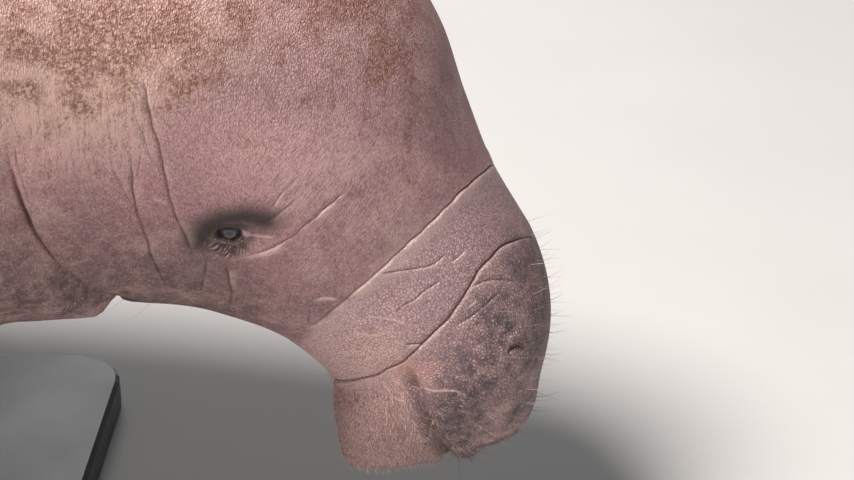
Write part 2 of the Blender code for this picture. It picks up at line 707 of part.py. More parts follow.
def nail(name, side, number, collection):
    """A flattened nail, sunk in the outer face near the flipper's edge."""
    _, aim, chord, face = flipper_frame(side)
    spread = (number - (NAILS - 1) / 2) / (NAILS - 1)
    across = spread * NAIL_SPREAD
    middle, wide, thick = flipper_section(
        side, FLIPPER_LENGTH * (NAIL_ROW - NAIL_ROW_CURVE * spread ** 2))
    lift = thick * math.sqrt(max(1 - (across / wide) ** 2, 0.05))
    middle += chord * across + face * lift * 0.9
    bm = bmesh.new()
    bmesh.ops.create_uvsphere(bm, u_segments=10, v_segments=6, radius=1)
    turn = Matrix((aim, chord, face)).transposed().to_4x4()
    size = Matrix.Diagonal((*NAIL_SIZE, 1))
    bmesh.ops.transform(bm, matrix=Matrix.Translation(middle) @ turn @ size, verts=bm.verts)
    return hidden(mesh_object(name, bm, collection))


def flipper(side, word, parts, cutters, surface):
    """The free flipper, from its plane root to the rounded tip, with its nails."""
    places = np.concatenate([[FLIPPER_PARTING + GAP / 2],
                             np.linspace(0.19, 0.40, 7),
                             FLIPPER_LENGTH - 0.075 * np.cos(np.linspace(0.25, math.pi / 2, 6))])
    rings = [flipper_ring(side, a, FLIPPER_SIDES) for a in places]
    made = mesh_object("flipper_" + word, lofted(rings), parts, surface)
    for number in range(NAILS):
        cut(made, nail(f"nail_{word}_{number}", side, number, cutters), "UNION")
    return made


def rod_and_socket(word, parts, cutters, surface):
    """A round rod from the base into a shallow socket in the belly."""
    x = ROD_PLACES[word]
    base_top = BASE_SIZE[2] + GAP
    back = float(np.interp(-x, -AXIS[1], AXIS[0]))
    belly = float(skin(back, np.array([-math.pi / 2]))[0, 2])
    top = belly + ROD_SOCKET

    def cylinder(name, radius, low, high, collection, finish=None):
        bm = bmesh.new()
        bmesh.ops.create_cone(bm, cap_ends=True, segments=24, radius1=radius, radius2=radius,
                              depth=high - low)
        bmesh.ops.translate(bm, vec=(x, 0, (low + high) / 2), verts=bm.verts)
        return mesh_object(name, bm, collection, finish)

    cylinder("stand_rod_" + word, ROD_RADIUS, base_top, top, parts, surface)
    return hidden(cylinder("rod_socket_" + word, ROD_RADIUS + GAP, base_top, top + GAP, cutters))


def stand_base(parts, surface):
    """A flat board with rounded corners and eased edges."""
    length, width, height = BASE_SIZE
    bm = bmesh.new()
    bmesh.ops.create_cube(bm, size=1)
    bmesh.ops.scale(bm, vec=BASE_SIZE, verts=bm.verts)
    upright = [e for e in bm.edges if abs(e.verts[0].co.z - e.verts[1].co.z) > height / 2]
    bmesh.ops.bevel(bm, geom=upright, offset=BASE_CORNER, segments=6, affect="EDGES", profile=0.5)
    rims = [e for e in bm.edges
            if abs(e.verts[0].co.z - e.verts[1].co.z) < 1e-6 and e.calc_face_angle(0) > 1]
    bmesh.ops.bevel(bm, geom=rims, offset=BASE_EDGE, segments=1, affect="EDGES", profile=0.5)
    bmesh.ops.translate(bm, vec=(0, 0, height / 2), verts=bm.verts)
    return mesh_object("stand_base", bm, parts, surface)


def trunk(parts, cutters, skins):
    """Chest, belly, tail stock and paddle, with the flippers' roots and the rods' sockets."""
    chest = length_of_body("chest", NECK_END, CHEST_END, 9, parts, skins["trunk"])
    belly = length_of_body("belly", CHEST_END, BELLY_END, 10, parts, skins["trunk"])
    length_of_body("tail_stock", BELLY_END, STOCK_END, 9, parts, skins["trunk"])
    length_of_body("tail_paddle", STOCK_END, BODY_LENGTH, 14, parts, skins["tail"])
    for side, word in ((-1, "right"), (1, "left")):
        cut(chest, flipper_stump("stump_" + word, side, cutters), "UNION")
        flipper(side, word, parts, cutters, skins["flipper"])
    cut(chest, rod_and_socket("front", parts, cutters, skins["rod"]))
    cut(belly, rod_and_socket("rear", parts, cutters, skins["rod"]))


def build():
    clear_scene()
    parts = new_collection("manatee")
    cutters = new_collection("cutters")
    skins = {
        "head": material("skin_head", (0.30, 0.22, 0.22), 0.62),
        "lower_jaw": material("skin_jaw", (0.34, 0.26, 0.24), 0.66),
        "neck": material("skin_neck", (0.32, 0.24, 0.23), 0.64),
        "trunk": material("skin_trunk", (0.28, 0.22, 0.20), 0.66),
        "tail": material("skin_tail", (0.25, 0.20, 0.19), 0.66),
        "flipper": material("skin_flipper", (0.26, 0.20, 0.20), 0.64),
        "eye": material("eye", (0.02, 0.025, 0.035), 0.12),
        "rod": material("satin_steel", (0.55, 0.55, 0.56), 0.32, 1.0),
        "base": material("black_painted_board", (0.03, 0.03, 0.032), 0.45),
    }
    head_jaw_and_neck(parts, cutters, skins)
    trunk(parts, cutters, skins)
    stand_base(parts, skins["base"])


build()
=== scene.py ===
"""Looks of a life-size Florida manatee model, its head bent down to feed, on a display stand.

Metres, +Z up. The animal faces +X and its left side is +Y. The origin lies on the floor,
under the middle of the stand's base.
"""

import math

import bmesh
import bpy
import numpy as np
from mathutils import Matrix, Vector
from mathutils.kdtree import KDTree


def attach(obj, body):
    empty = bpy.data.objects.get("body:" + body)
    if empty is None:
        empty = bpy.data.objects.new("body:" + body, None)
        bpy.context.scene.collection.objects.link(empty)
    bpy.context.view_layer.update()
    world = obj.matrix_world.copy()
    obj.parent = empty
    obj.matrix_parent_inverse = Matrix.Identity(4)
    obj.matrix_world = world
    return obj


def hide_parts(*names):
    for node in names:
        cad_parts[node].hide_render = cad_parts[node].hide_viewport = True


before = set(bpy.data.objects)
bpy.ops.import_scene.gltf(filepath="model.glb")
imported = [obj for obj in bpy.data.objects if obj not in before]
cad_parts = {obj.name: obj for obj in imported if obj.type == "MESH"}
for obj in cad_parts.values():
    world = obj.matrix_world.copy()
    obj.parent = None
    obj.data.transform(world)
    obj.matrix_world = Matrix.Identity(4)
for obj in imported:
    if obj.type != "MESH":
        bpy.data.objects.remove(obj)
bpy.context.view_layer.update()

# Hide: the form of the body
# The real hide is one thick, matt skin without scales, drawn tight over fat. On the model it is
# one cast and painted shell from muzzle to tail. It lies on the solids' own axis and sections.

BODY_LENGTH = 3.0            # from the muzzle's front to the tail's tip, along the body's axis
MUZZLE_X, MUZZLE_Z = 1.150, 0.135

# back: distance along the axis; pitch: how far the axis points down, in degrees;
# half: half width; above, below: from the axis to the back and to the belly;
# square: 2 is an ellipse, more is boxier; narrow: how much the underside is drawn in.
STATIONS = (
    # back  pitch  half  above  below  square  narrow
    (0.00, 64, 0.080, 0.062, 0.156, 2.30, 0.35),    # face of the muzzle
    (0.04, 64, 0.088, 0.082, 0.146, 2.30, 0.34),
    (0.09, 61, 0.094, 0.100, 0.131, 2.30, 0.33),    # nostrils, chin
    (0.14, 56, 0.096, 0.106, 0.112, 2.20, 0.24),    # corner of the mouth
    (0.20, 52, 0.106, 0.114, 0.118, 2.10, 0.12),    # crease behind the muzzle
    (0.27, 51, 0.124, 0.136, 0.150, 2.10, 0.08),
    (0.33, 50, 0.140, 0.160, 0.194, 2.10, 0.05),    # eyes
    (0.42, 41, 0.160, 0.179, 0.272, 2.10, 0.03),    # back of the head
    (0.52, 26, 0.183, 0.187, 0.320, 2.10, 0.00),
    (0.62, 12, 0.207, 0.195, 0.330, 2.10, 0.00),    # neck
    (0.80, -1, 0.254, 0.225, 0.316, 2.20, 0.00),    # shoulders
    (1.05, -3, 0.302, 0.262, 0.305, 2.25, 0.00),
    (1.35, -2, 0.325, 0.285, 0.300, 2.30, 0.00),    # navel, the widest place
    (1.70, 0, 0.300, 0.270, 0.270, 2.20, 0.00),
    (2.02, 2, 0.235, 0.215, 0.200, 2.10, 0.00),
    (2.25, 2, 0.170, 0.150, 0.120, 2.10, 0.00),     # root of the paddle
    (2.42, 1, 0.180, 0.085, 0.062, 2.10, 0.00),
    (2.60, 0, 0.285, 0.046, 0.036, 2.00, 0.00),
    (2.78, -1, 0.352, 0.030, 0.026, 2.00, 0.00),    # widest place of the paddle
    (2.92, -1, 0.330, 0.020, 0.020, 2.00, 0.00),
    (3.00, -1, 0.300, 0.016, 0.016, 2.00, 0.00),
)
BACK, PITCH, HALF, ABOVE, BELOW, SQUARE, NARROW = np.array(STATIONS, float).T
AXIS_STEPS = 1500

# How the sections close at the two ends: (length of the rounded stretch, roundness)
CLOSE_MUZZLE_SIDES = (0.105, 1.95)
CLOSE_MUZZLE_TOP = (0.149, 1.66)
CLOSE_MUZZLE_CHIN = (0.040, 2.6)
CLOSE_PADDLE_SIDES = (0.360, 2.2)
CLOSE_PADDLE_FACES = (0.050, 2.0)


def between(x, knots, values):
    """Smooth curve through the knots that doesn't overshoot them."""
    step = np.diff(knots)
    slope = np.diff(values) / step
    tangent = np.zeros(len(values))
    for i in range(1, len(values) - 1):
        if slope[i - 1] * slope[i] > 0:
            near, far = 2 * step[i] + step[i - 1], step[i] + 2 * step[i - 1]
            tangent[i] = (near + far) / (near / slope[i - 1] + far / slope[i])
    tangent[0], tangent[-1] = slope[0], slope[-1]
    x = np.clip(x, knots[0], knots[-1])
    i = np.clip(np.searchsorted(knots, x, side="right") - 1, 0, len(step) - 1)
    t = (x - knots[i]) / step[i]
    return ((1 + 2 * t) * (1 - t) ** 2 * values[i] + t * (1 - t) ** 2 * step[i] * tangent[i]
            + t * t * (3 - 2 * t) * values[i + 1] + t * t * (t - 1) * step[i] * tangent[i + 1])


def closing(distance, reach, roundness):
    """From 0 at an end of the body to 1 where its rounded stretch is over."""
    t = np.clip(1 - distance / reach, 0, 1)
    return (1 - t ** roundness) ** (1 / roundness)


def rise(x, low, high):
    """Smooth step from 0 at low to 1 at high."""
    t = np.clip((x - low) / (high - low), 0, 1)
    return t * t * (3 - 2 * t)


def bump(x):
    """A bell of height 1 that has fallen to about a third where x is 1."""
    return np.exp(-x ** 2)


def axis_curve():
    """The axis in the plane of symmetry, summed up from its pitch."""
    along = np.linspace(0, BODY_LENGTH, AXIS_STEPS + 1)
    pitch = np.radians(between(along, BACK, PITCH))
    step = along[1] - along[0]

    def summed(f):
        return np.concatenate([[0], np.cumsum((f[1:] + f[:-1]) / 2 * step)])

    return along, MUZZLE_X - summed(np.cos(pitch)), MUZZLE_Z + summed(np.sin(pitch))


AXIS = axis_curve()


def plain_skin(back, angle):
    """The body's surface without folds. Angle 0 is the right side, 90 degrees the back."""
    pitch = np.radians(between(back, BACK, PITCH))
    tail = BODY_LENGTH - back
    half = (between(back, BACK, HALF) * closing(back, *CLOSE_MUZZLE_SIDES)
            * closing(tail, *CLOSE_PADDLE_SIDES))
    above = (between(back, BACK, ABOVE) * closing(back, *CLOSE_MUZZLE_TOP)
             * closing(tail, *CLOSE_PADDLE_FACES))
    below = (between(back, BACK, BELOW) * closing(back, *CLOSE_MUZZLE_CHIN)
             * closing(tail, *CLOSE_PADDLE_FACES))
    power = between(back, BACK, SQUARE)
    c, s = np.cos(angle), np.sin(angle)
    reach = (np.abs(c) ** power + np.abs(s) ** power) ** (-1 / power)
    drawn_in = 1 - between(back, BACK, NARROW) * np.clip(-s, 0, 1) ** 1.5
    side = half * reach * c * drawn_in
    high = np.where(s > 0, above, below) * reach * s
    x = np.interp(back, AXIS[0], AXIS[1]) + high * np.sin(pitch)
    z = np.interp(back, AXIS[0], AXIS[2]) + high * np.cos(pitch)
    return np.stack([x, -side, z], -1)


def outward(back, angle):
    """Unit normals of the plain skin, from two short steps along it."""
    step = 1e-4
    along = plain_skin(np.minimum(back + step, BODY_LENGTH), angle) - plain_skin(
        np.maximum(back - step, 0), angle)
    around = plain_skin(back, angle + step) - plain_skin(back, angle - step)
    normal = np.cross(around, along)
    length = np.linalg.norm(normal, axis=-1, keepdims=True)
    return normal / np.maximum(length, 1e-15)


# Hide: folds, lines and scars
# Where the real skin bends it keeps sharp creases, some with a raised lip. Their bottoms are
# painted dark as shade, the rims of their lips pale as highlights, and lines that stand up pale.
# They are laid out on a flat drawing sheet held against the right eye and carried to the skin
# along sight lines from one point. The left side is its mirror image.

EYE_ON_SHEET = np.array((MUZZLE_X - 0.225, -0.132, MUZZLE_Z + 0.250))
SHEET_TILT = math.radians(25.0)          # how far the sight lines point down
SIGHT_DISTANCE = 1.3
SIGHT_FORWARD = 0.1525       # the sight point lies this far ahead of the eye
SIGHT_BELOW = 0.0054         # and its middle line passes this far below it
LOOK = np.array((0, math.cos(SHEET_TILT), -math.sin(SHEET_TILT)))
LIFT = np.array((0, math.sin(SHEET_TILT), math.cos(SHEET_TILT)))
SIGHT = EYE_ON_SHEET + [SIGHT_FORWARD, 0, 0] - SIGHT_BELOW * LIFT - SIGHT_DISTANCE * LOOK

# Each line: depth, half width and raised lip on the muzzle's side, in millimetres; how dark its
# bottom is painted as shade and how pale its rim is painted as a highlight, 0 to 1 (a line that
# stands up is painted pale along its width); and places (ahead of the eye's middle, above it) in
# millimetres on the sheet. A negative depth stands up.
LINES = {
    "muzzle_crease": (1.8, 1.3, 1.1, 0.50, 1.0, (
        (38, -77), (61, -72), (75, -63), (88, -52), (113, -31), (138, -8),
        (154, 7), (168, 21), (181, 34), (194, 45), (205, 55))),
    "cheek_and_chin_crease": (2.2, 1.4, 0.6, 0.8, 0.30, (
        (74, -112), (89, -114), (108, -111), (124, -104), (134, -99), (145, -89), (152, -82),
        (166, -69), (177, -55), (187, -38), (196, -25), (206, -14), (216, -7), (226, -4),
        (238, -3))),
    "first_neck_fold": (1.7, 1.4, 0.3, 0.8, 0.15, (
        (-66, 121), (-62, 96), (-55, 69), (-46, 28), (-34, -5), (-28, -16))),
    "second_neck_fold": (1.8, 1.4, 0.3, 0.8, 0.15, (
        (-76, 60), (-75, 45), (-73, 24), (-67, 3), (-59, -19), (-45, -47))),
    "throat_crease": (9.0, 3.0, 5.0, 0.7, 0.10, (
        (-172, 65), (-165, 37), (-156, 12), (-141, -15), (-125, -29), (-107, -40),
        (-92, -44), (-76, -47))),
    "fold_before_eye": (1.2, 0.9, 0.8, 0.60, 1.6, (
        (10, -20), (30, -14), (46, -5), (58, 5), (68, 14), (80, 24), (90, 32))),
    "fold_below_eye": (1.8, 1.6, 0.4, 0.7, 0.3, ((-4, -24), (0, -36), (1, -58))),
    "second_fold_below_eye": (1.2, 1.5, 0.3, 0.6, 0.2, ((-17, -22), (-20, -34), (-22, -46))),
    "branch_of_neck_fold": (0.9, 1.2, 0.2, 0.6, 0.1, ((-89, 50), (-82, 34), (-74, 20))),
    "first_neck_line": (0.5, 1.0, 0.1, 0.5, 0.1, ((-75, 102), (-72, 90), (-68, 76))),
    "second_neck_line": (0.5, 1.0, 0.1, 0.5, 0.1, ((-68, 82), (-64, 68), (-57, 52))),
    "third_neck_line": (0.5, 1.0, 0.1, 0.5, 0.1, ((-67, 63), (-70, 50), (-74, 38))),
    "throat_line": (0.6, 1.1, 0.1, 0.5, 0.1, ((-167, 70), (-161, 48), (-152, 22))),
    "upper_muzzle_line": (1.0, 1.1, 0.7, 0.5, 0.7, (
        (112, -31), (131, -29), (155, -25), (168, -15))),
    "short_muzzle_line": (0.6, 1.0, 0.5, 0.2, 0.9, ((182, -12), (177, -18), (171, -23))),
    "middle_muzzle_line": (1.0, 1.1, 0.4, 0.6, 0.4, ((126, -62), (145, -49), (164, -35))),
    "cheek_notch": (0.5, 0.8, 0.2, 0.3, 0.8, ((63, -52), (74, -49), (84, -50))),
    "cheek_notch_side": (0.8, 1.1, 0.3, 0.6, 0.1, ((62, -57), (61, -69))),
    "crease_above_eye_front": (0.6, 1.0, 0.2, 0.2, 0.7, ((32, 18), (41, 30), (51, 42))),
    "crease_at_eye_front": (0.7, 1.1, 0.3, 0.5, 0.3, ((30, 8), (41, 17), (53, 28))),
    "ridge_at_eye_corner": (-0.9, 1.0, 0.0, 0.0, 1.0, ((12, -4), (22, -5), (34, -5))),
    "knot_fold": (1.2, 1.5, 0.6, 0.6, 0.9, ((136, -86), (149, -85))),
    "first_scar": (-0.35, 1.0, 0.0, 0.0, 1.0, ((103, -64), (121, -66), (142, -72))),
    "second_scar": (-0.35, 1.0, 0.0, 0.0, 0.9, ((95, -75), (108, -79), (119, -79))),
    "third_scar": (-0.3, 0.9, 0.0, 0.0, 0.9, ((182, -60), (191, -52))),
    "neck_nick": (-0.3, 1.2, 0.0, 0.0, 0.8, ((-59, 27), (-51, 24), (-47, 23))),
    "chin_arc": (-0.6, 1.3, 0.0, 0.0, 0.9, ((117, -112), (122, -119), (130, -126), (142, -131))),
    "lip_line": (-0.4, 1.1, 0.0, 0.0, 0.7, ((145, -117), (158, -119), (176, -122), (189, -129))),
    "first_front_wrinkle": (0.7, 1.5, 0.3, 0.4, 0.2, ((173, -73), (192, -60), (211, -43))),
    "second_front_wrinkle": (0.6, 1.5, 0.3, 0.4, 0.2, ((182, -43), (203, -36), (222, -37))),
}
SHARP_PART = 0.45            # the sharp bottom of a crease takes this share of its width and these shares of its depth and of its painted shade
SHARP_DEPTH, SHARP_DARK = 0.4, 0.7       # and these shares of its depth and its dark
LINE_STRAY, STRAY_LENGTH = 0.0006, 0.016     # how far a line strays sideways, and over what length
LINE_OVERRUN, SETS_IN, DIES_AWAY = 0.02, 0.20, 0.16      # a line's ends, as shares of its length
FINE_END = 0.6               # width of a line's very end
# A crease's lip and rim are uneven: how much, over what length, and the least and the most
UNEVEN, UNEVEN_LENGTH, UNEVEN_LIMITS = 0.55, 0.026, (0.15, 1.6)
RIMS = ((0.65, 0.9, 1.1), (0.60, 2.4, 3.0))      # the two painted highlights along a rim: strength, place, width, in half widths
LIP_EDGE = (-0.2, 0.6)       # the lip begins here, in half widths
LIP_REACH = 4.0              # a lip reaches this many half widths from its crease
THROAT_HOLLOW, THROAT_LIP = 0.022, 0.040     # the same reaches behind and ahead of the throat's
# These run on to the middle of the back or belly: (which end, degrees around the body there)
CROSSINGS = {"muzzle_crease": (-1, 90), "cheek_and_chin_crease": (0, -90),
             "throat_crease": (-1, -90)}
CROSSING_STEPS = 8
LINE_STEPS = 6               # points between two places of a line
# The chart of the sheet on the skin: where it starts and ends along the axis, and its fineness
CHART_START, CHART_END, CHART_GRID = 0.004, 0.80, (400, 240)
CLOSING_IN, BACK_STEP, TURN_STEP = 4, 0.004, 0.03    # steps from the chart's nearest place
WAVE_SEED, WAVES, WAVES_SUM = 5, 7, 2.5      # waves that are summed to an uneven value
# The breast hangs over the throat's crease: height, how soon behind the crease it is full, how
# far back it reaches, and the degrees around the body over which it dies away
BREAST = (0.021, 0.024, 0.090, -55.0, -15.0)


def wander(points, size):
    """A smooth, uneven value, mostly between -1 and 1, that changes over this distance."""
    ways = np.random.default_rng(WAVE_SEED).normal(size=(WAVES, 3))
    ways *= 2 * math.pi / size / np.linalg.norm(ways, axis=-1, keepdims=True)
    return np.sin(points @ ways.T + np.arange(WAVES)).sum(-1) / WAVES_SUM


def on_sheet(points):
    """Where points of the right side show on the drawing sheet, and their sight lines."""
    ray = points - SIGHT
    scale = SIGHT_DISTANCE / (ray @ LOOK)
    return np.stack([ray[..., 0] * scale + SIGHT_FORWARD,
                     (ray @ LIFT) * scale - SIGHT_BELOW], -1), ray


def right_side_chart():
    """A grid of the head's and neck's right side, with its places on the sheet."""
    back, angle = np.meshgrid(np.linspace(CHART_START, CHART_END, CHART_GRID[0]),
                              np.linspace(-math.pi / 2, math.pi / 2, CHART_GRID[1]), indexing="ij")
    points = plain_skin(back, angle)
    places, ray = on_sheet(points)
    seen = np.sum(outward(back, angle) * ray, -1) < 0
    return back[seen], angle[seen], places[seen]


CHART = right_side_chart()


def carried_to_skin(places):
    """Where on the body, as distance back and angle, places of the sheet lie."""
    back, angle = np.array([
        (CHART[0][i], CHART[1][i])
        for i in (np.argmin(np.hypot(*(CHART[2] - place).T)) for place in places)]).T
    step = 1e-4
    for _ in range(CLOSING_IN):
        here = on_sheet(plain_skin(back, angle))[0]
        by_back = (on_sheet(plain_skin(back + step, angle))[0] - here) / step
        by_angle = (on_sheet(plain_skin(back, angle + step))[0] - here) / step
        miss = places - here
        area = by_back[:, 0] * by_angle[:, 1] - by_back[:, 1] * by_angle[:, 0]
        area = np.where(np.abs(area) < 1e-4, 1e-4, area)
        d_back = (miss[:, 0] * by_angle[:, 1] - miss[:, 1] * by_angle[:, 0]) / area
        d_angle = (by_back[:, 0] * miss[:, 1] - by_back[:, 1] * miss[:, 0]) / area
        back = np.clip(back + np.clip(d_back, -BACK_STEP, BACK_STEP), CHART_START, CHART_END)
        angle = np.clip(angle + np.clip(d_angle, -TURN_STEP, TURN_STEP), -math.pi / 2, math.pi / 2)
    return back, angle


def drawn_lines():
    """Each line as closely spaced points on the right side's skin."""
    drawn = []
    for name, (depth, width, lip, dark, pale, places) in LINES.items():
        places = np.array(places, float) / 1000
        knots = np.arange(len(places), dtype=float)
        fine = np.linspace(0, knots[-1], LINE_STEPS * (len(places) - 1) + 1)
        curve = np.stack([between(fine, knots, places[:, i]) for i in (0, 1)], -1)
        flat = np.append(curve, np.zeros((len(curve), 1)), -1)
        curve[:, 0] += LINE_STRAY * wander(flat, STRAY_LENGTH)
        back, angle = carried_to_skin(curve)
        end, target = CROSSINGS.get(name, (None, 0))
        if end is not None:
            turn = np.linspace(angle[end], math.radians(target), CROSSING_STEPS)[1:]
            way = np.full(len(turn), back[end])
            if end == 0:
                back, angle = np.append(way[::-1], back), np.append(turn[::-1], angle)
            else:
                back, angle = np.append(back, way), np.append(angle, turn)
        points = plain_skin(back, angle)
        across = np.cross(np.gradient(points, axis=0), outward(back, angle))
        across /= np.maximum(np.linalg.norm(across, axis=-1, keepdims=True), 1e-9)
        to_muzzle = np.sum(across * (plain_skin(back - 1e-4, angle) - points))
        across *= np.sign(to_muzzle)
        drawn.append((depth / 1000, width / 1000, lip / 1000, dark, pale, end,
                      name == "throat_crease", points, across))
    return drawn


DRAWN_LINES = drawn_lines()


def fold_marks(points, angle):
    """Relief of the folds and the breast, with the painted shade in their bottoms and the pale
    painted on their lips' rims as a highlight and on raised lines.
    """
    relief, darkness, paleness = np.zeros((3, len(points)))
    breast, breast_rise, breast_reach, breast_low, breast_high = BREAST
    for depth, width, lip, dark, pale, end, throat, line, across in DRAWN_LINES:
        reach = 3 * breast_reach if throat else 7 * width
        close = np.all((points > line.min(0) - reach) & (points < line.max(0) + reach), -1)
        here = points[close]
        if not len(here):
            continue
        best = np.full(len(here), 1e9)
        place, side = np.zeros((2, len(here)))
        for i in range(len(line) - 1):
            start, span = line[i], line[i + 1] - line[i]
            t = np.clip((here - start) @ span / max(span @ span, 1e-12), 0, 1)
            off = here - start - t[:, None] * span
            away = np.linalg.norm(off, axis=-1)
            closer = away < best
            best[closer] = away[closer]
            place[closer] = (i + t[closer]) / (len(line) - 1)
            side[closer] = (off @ across[i])[closer]
        fade = np.ones(len(here))
        if end != 0:
            fade *= rise(place, -LINE_OVERRUN, SETS_IN)
        if end != -1:
            fade *= rise(1 + LINE_OVERRUN - place, 0, DIES_AWAY)
        uneven = np.clip(1 + UNEVEN * wander(here, UNEVEN_LENGTH), *UNEVEN_LIMITS)
        width = width * (FINE_END + (1 - FINE_END) * fade)
        behind_width = THROAT_HOLLOW if throat else width
        valley = bump(best / np.where(side < 0, behind_width, width))
        sharp = bump(best / (SHARP_PART * width))
        ahead = rise(side / width, *LIP_EDGE)
        soft = bump(best / width)
        roll = ahead * (1 - soft) * bump(best / (THROAT_LIP if throat else LIP_REACH * width))
        relief[close] += fade * (lip * (1 if throat else uneven) * roll
                                 - depth * (valley + SHARP_DEPTH * (sharp - valley)))
        if throat:
            low = 1 - rise(np.degrees(angle[close]), breast_low, breast_high)
            relief[close] += (breast * low * (1 - ahead) * rise(best, 0, breast_rise)
                              * bump(best / breast_reach))
        # The bottom is painted dark as shade, the lip's rim pale as a highlight, and a line that
        # stands up pale along its width.
        darkness[close] += fade * dark * (soft + SHARP_DARK * (sharp - soft))
        near_rim, far_rim = (most * bump((side / width - at) / wide) for most, at, wide in RIMS)
        rim = ahead * (1 - sharp) * (near_rim + far_rim * uneven)
        paleness[close] += fade * pale * uneven * (rim if depth > 0 else soft)
    return relief, np.clip(darkness, 0, 1), np.clip(paleness, 0, 1)


# Hide: lids, nostrils and mouth
# The real eye lies deep in a shaded hollow between thick lids that close like a purse; that
# shade is painted on. The nostrils are crescent slits. The upper lip is split into two bristled
# lobes.

EYE_PLACE = (0.0, -0.004)    # on the sheet: set deep, the ball shows higher than it lies
EYE_RADIUS = 0.0105
EYE_DEPTH = 0.0150           # from the cheek's level to the eyeball's middle
LID_OPENING = (0.0095, 0.0055)
LID_OPENING_DEPTH = 0.006
LID_ROLL = 0.0022
LID_ROLL_PLACE, LID_ROLL_WIDTH = 1.45, 0.30    # in half sizes of the opening
SOCKET = (0.032, 0.017)      # half sizes of the hollow around the lids
SOCKET_DEPTH = 0.0075
# The painted shade of the hollow lies along a path of (ahead, above), full near it and gone further
# out
HOLLOW_PATH = ((-0.0220, -0.0040), (-0.0150, 0.0090), (-0.0030, 0.0165), (0.0130, 0.0185),
               (0.0280, 0.0145))
HOLLOW_FULL, HOLLOW_GONE = 0.001, 0.0235
# Spots round the eye, each by its middle and its half sizes
BELOW_EYE = (-0.020, -0.036, 0.034, 0.030)   # a wide faint shade
UPPER_LID = (0.0, 0.007, 0.019, 0.010)
LID_KNOT = (0.0125, 0.0005, 0.0036, 0.0026)  # the front corner, where the lids meet in a raised knot painted pale as a highlight
LID_PATCH = (-0.001, -0.0120, 0.0165, 0.0105)        # the wrinkled skin under the eye
BELOW_EYE_DARK, LIDS_DARK, PATCH_DARK = 0.45, 0.90, 0.88
# Edges, in half sizes of the lids' opening
OPENING_EDGE, PATCH_START = (0.80, 1.15), (1.05, 1.30)
LIDS_SHADE, RAYS_START = (1.50, 2.80), (1.7, 2.4)
PATCH_EDGE, UPPER_LID_EDGE = (0.60, 1.35), (0.6, 1.5)        # in half sizes of the spot
WRINKLE_DEPTH, KNOT_RISE = 0.0006, 2.2         # the knot stands up by so many wrinkle depths
WRINKLES_ROUND, WRINKLES_OUT = 2.6, 54         # rings in an opening's size; rays in a turn
WRINKLE_BEND, WRINKLE_BREAK = 0.011, 0.008     # they bend and break off over these lengths
RING_BEND, RAY_BEND, RAYS_UNEVEN = 2.2, 2.8, 0.3
BREAK_MIDDLE, BREAK_DEPTH = 0.75, 0.5
PALE_GAIN, PALE_HOLDS_OFF, KNOT_HOLDS_OFF = 1.4, 0.8, 0.9     # painted highlights hold the painted shade off

NOSTRIL_PLACE = (0.222, -0.090)
NOSTRIL_HALF = 0.009
NOSTRIL_ARCH = 0.004
NOSTRIL_DEPTH, NOSTRIL_SLIT = 0.0035, 0.0026
NOSTRIL_ENDS = (0.5, 1.15)               # the slit closes here, in its half lengths
NOSTRIL_RIM, NOSTRIL_RIM_PLACE, NOSTRIL_RIM_WIDTH = 0.0025, 0.009, 0.005

MOUTH_CORNER = np.array((MUZZLE_X - 0.088, MUZZLE_Z + 0.106))      # x, z
MOUTH_FRONT = np.array((MUZZLE_X - 0.049, MUZZLE_Z - 0.030))
CHIN_BACK = np.array((MUZZLE_X - 0.168, MUZZLE_Z + 0.053))
MOUTH_END = 0.17             # the mouth lies wholly ahead of this place on the axis
LIP_GROOVE, LIP_GROOVE_WIDTH = 0.007, 0.005
UPPER_LIP = (0.0045, 0.016, 0.010)       # height, place ahead of the groove, half width
LOWER_LIP = (0.0030, -0.013, 0.008)
LIP_CLEFT = (0.0065, 0.008)              # depth, half width
LIP_LOBES = (0.0055, 0.036, 0.020)       # height, place off the middle, half width
# Where the mouth's line begins along itself, and where the lobes end: along the axis, and
# ahead of the mouth's line
MOUTH_START, LOBES_END, LOBES_EDGE = (-0.006, 0.016), 0.055, (0.004, 0.020)
LOBES_FADE = 0.030


def face_frame(place):
    """A point of the right side with its outward, forward and upward directions."""
    back, angle = carried_to_skin(np.array([place], float))
    normal = outward(back, angle)[0]
    forward = np.array([1.0, 0, 0]) - normal[0] * normal
    forward /= np.linalg.norm(forward)
    return plain_skin(back, angle)[0], normal, forward, np.cross(normal, forward)


EYE_FRAME = face_frame(EYE_PLACE)
NOSTRIL_FRAME = face_frame(NOSTRIL_PLACE)


def off_middle(x, y, spot):
    """Distance from a spot's middle, in its half sizes."""
    return np.hypot((x - spot[0]) / spot[2], (y - spot[1]) / spot[3])


def from_path(u, v, path):
    """Distance from a path of straight pieces."""
    away = np.full(len(u), 1e9)
    for (u0, v0), (u1, v1) in zip(path, path[1:]):
        t = np.clip(((u - u0) * (u1 - u0) + (v - v0) * (v1 - v0))
                    / ((u1 - u0) ** 2 + (v1 - v0) ** 2), 0, 1)
        away = np.minimum(away, np.hypot(u - u0 - t * (u1 - u0), v - v0 - t * (v1 - v0)))
    return away


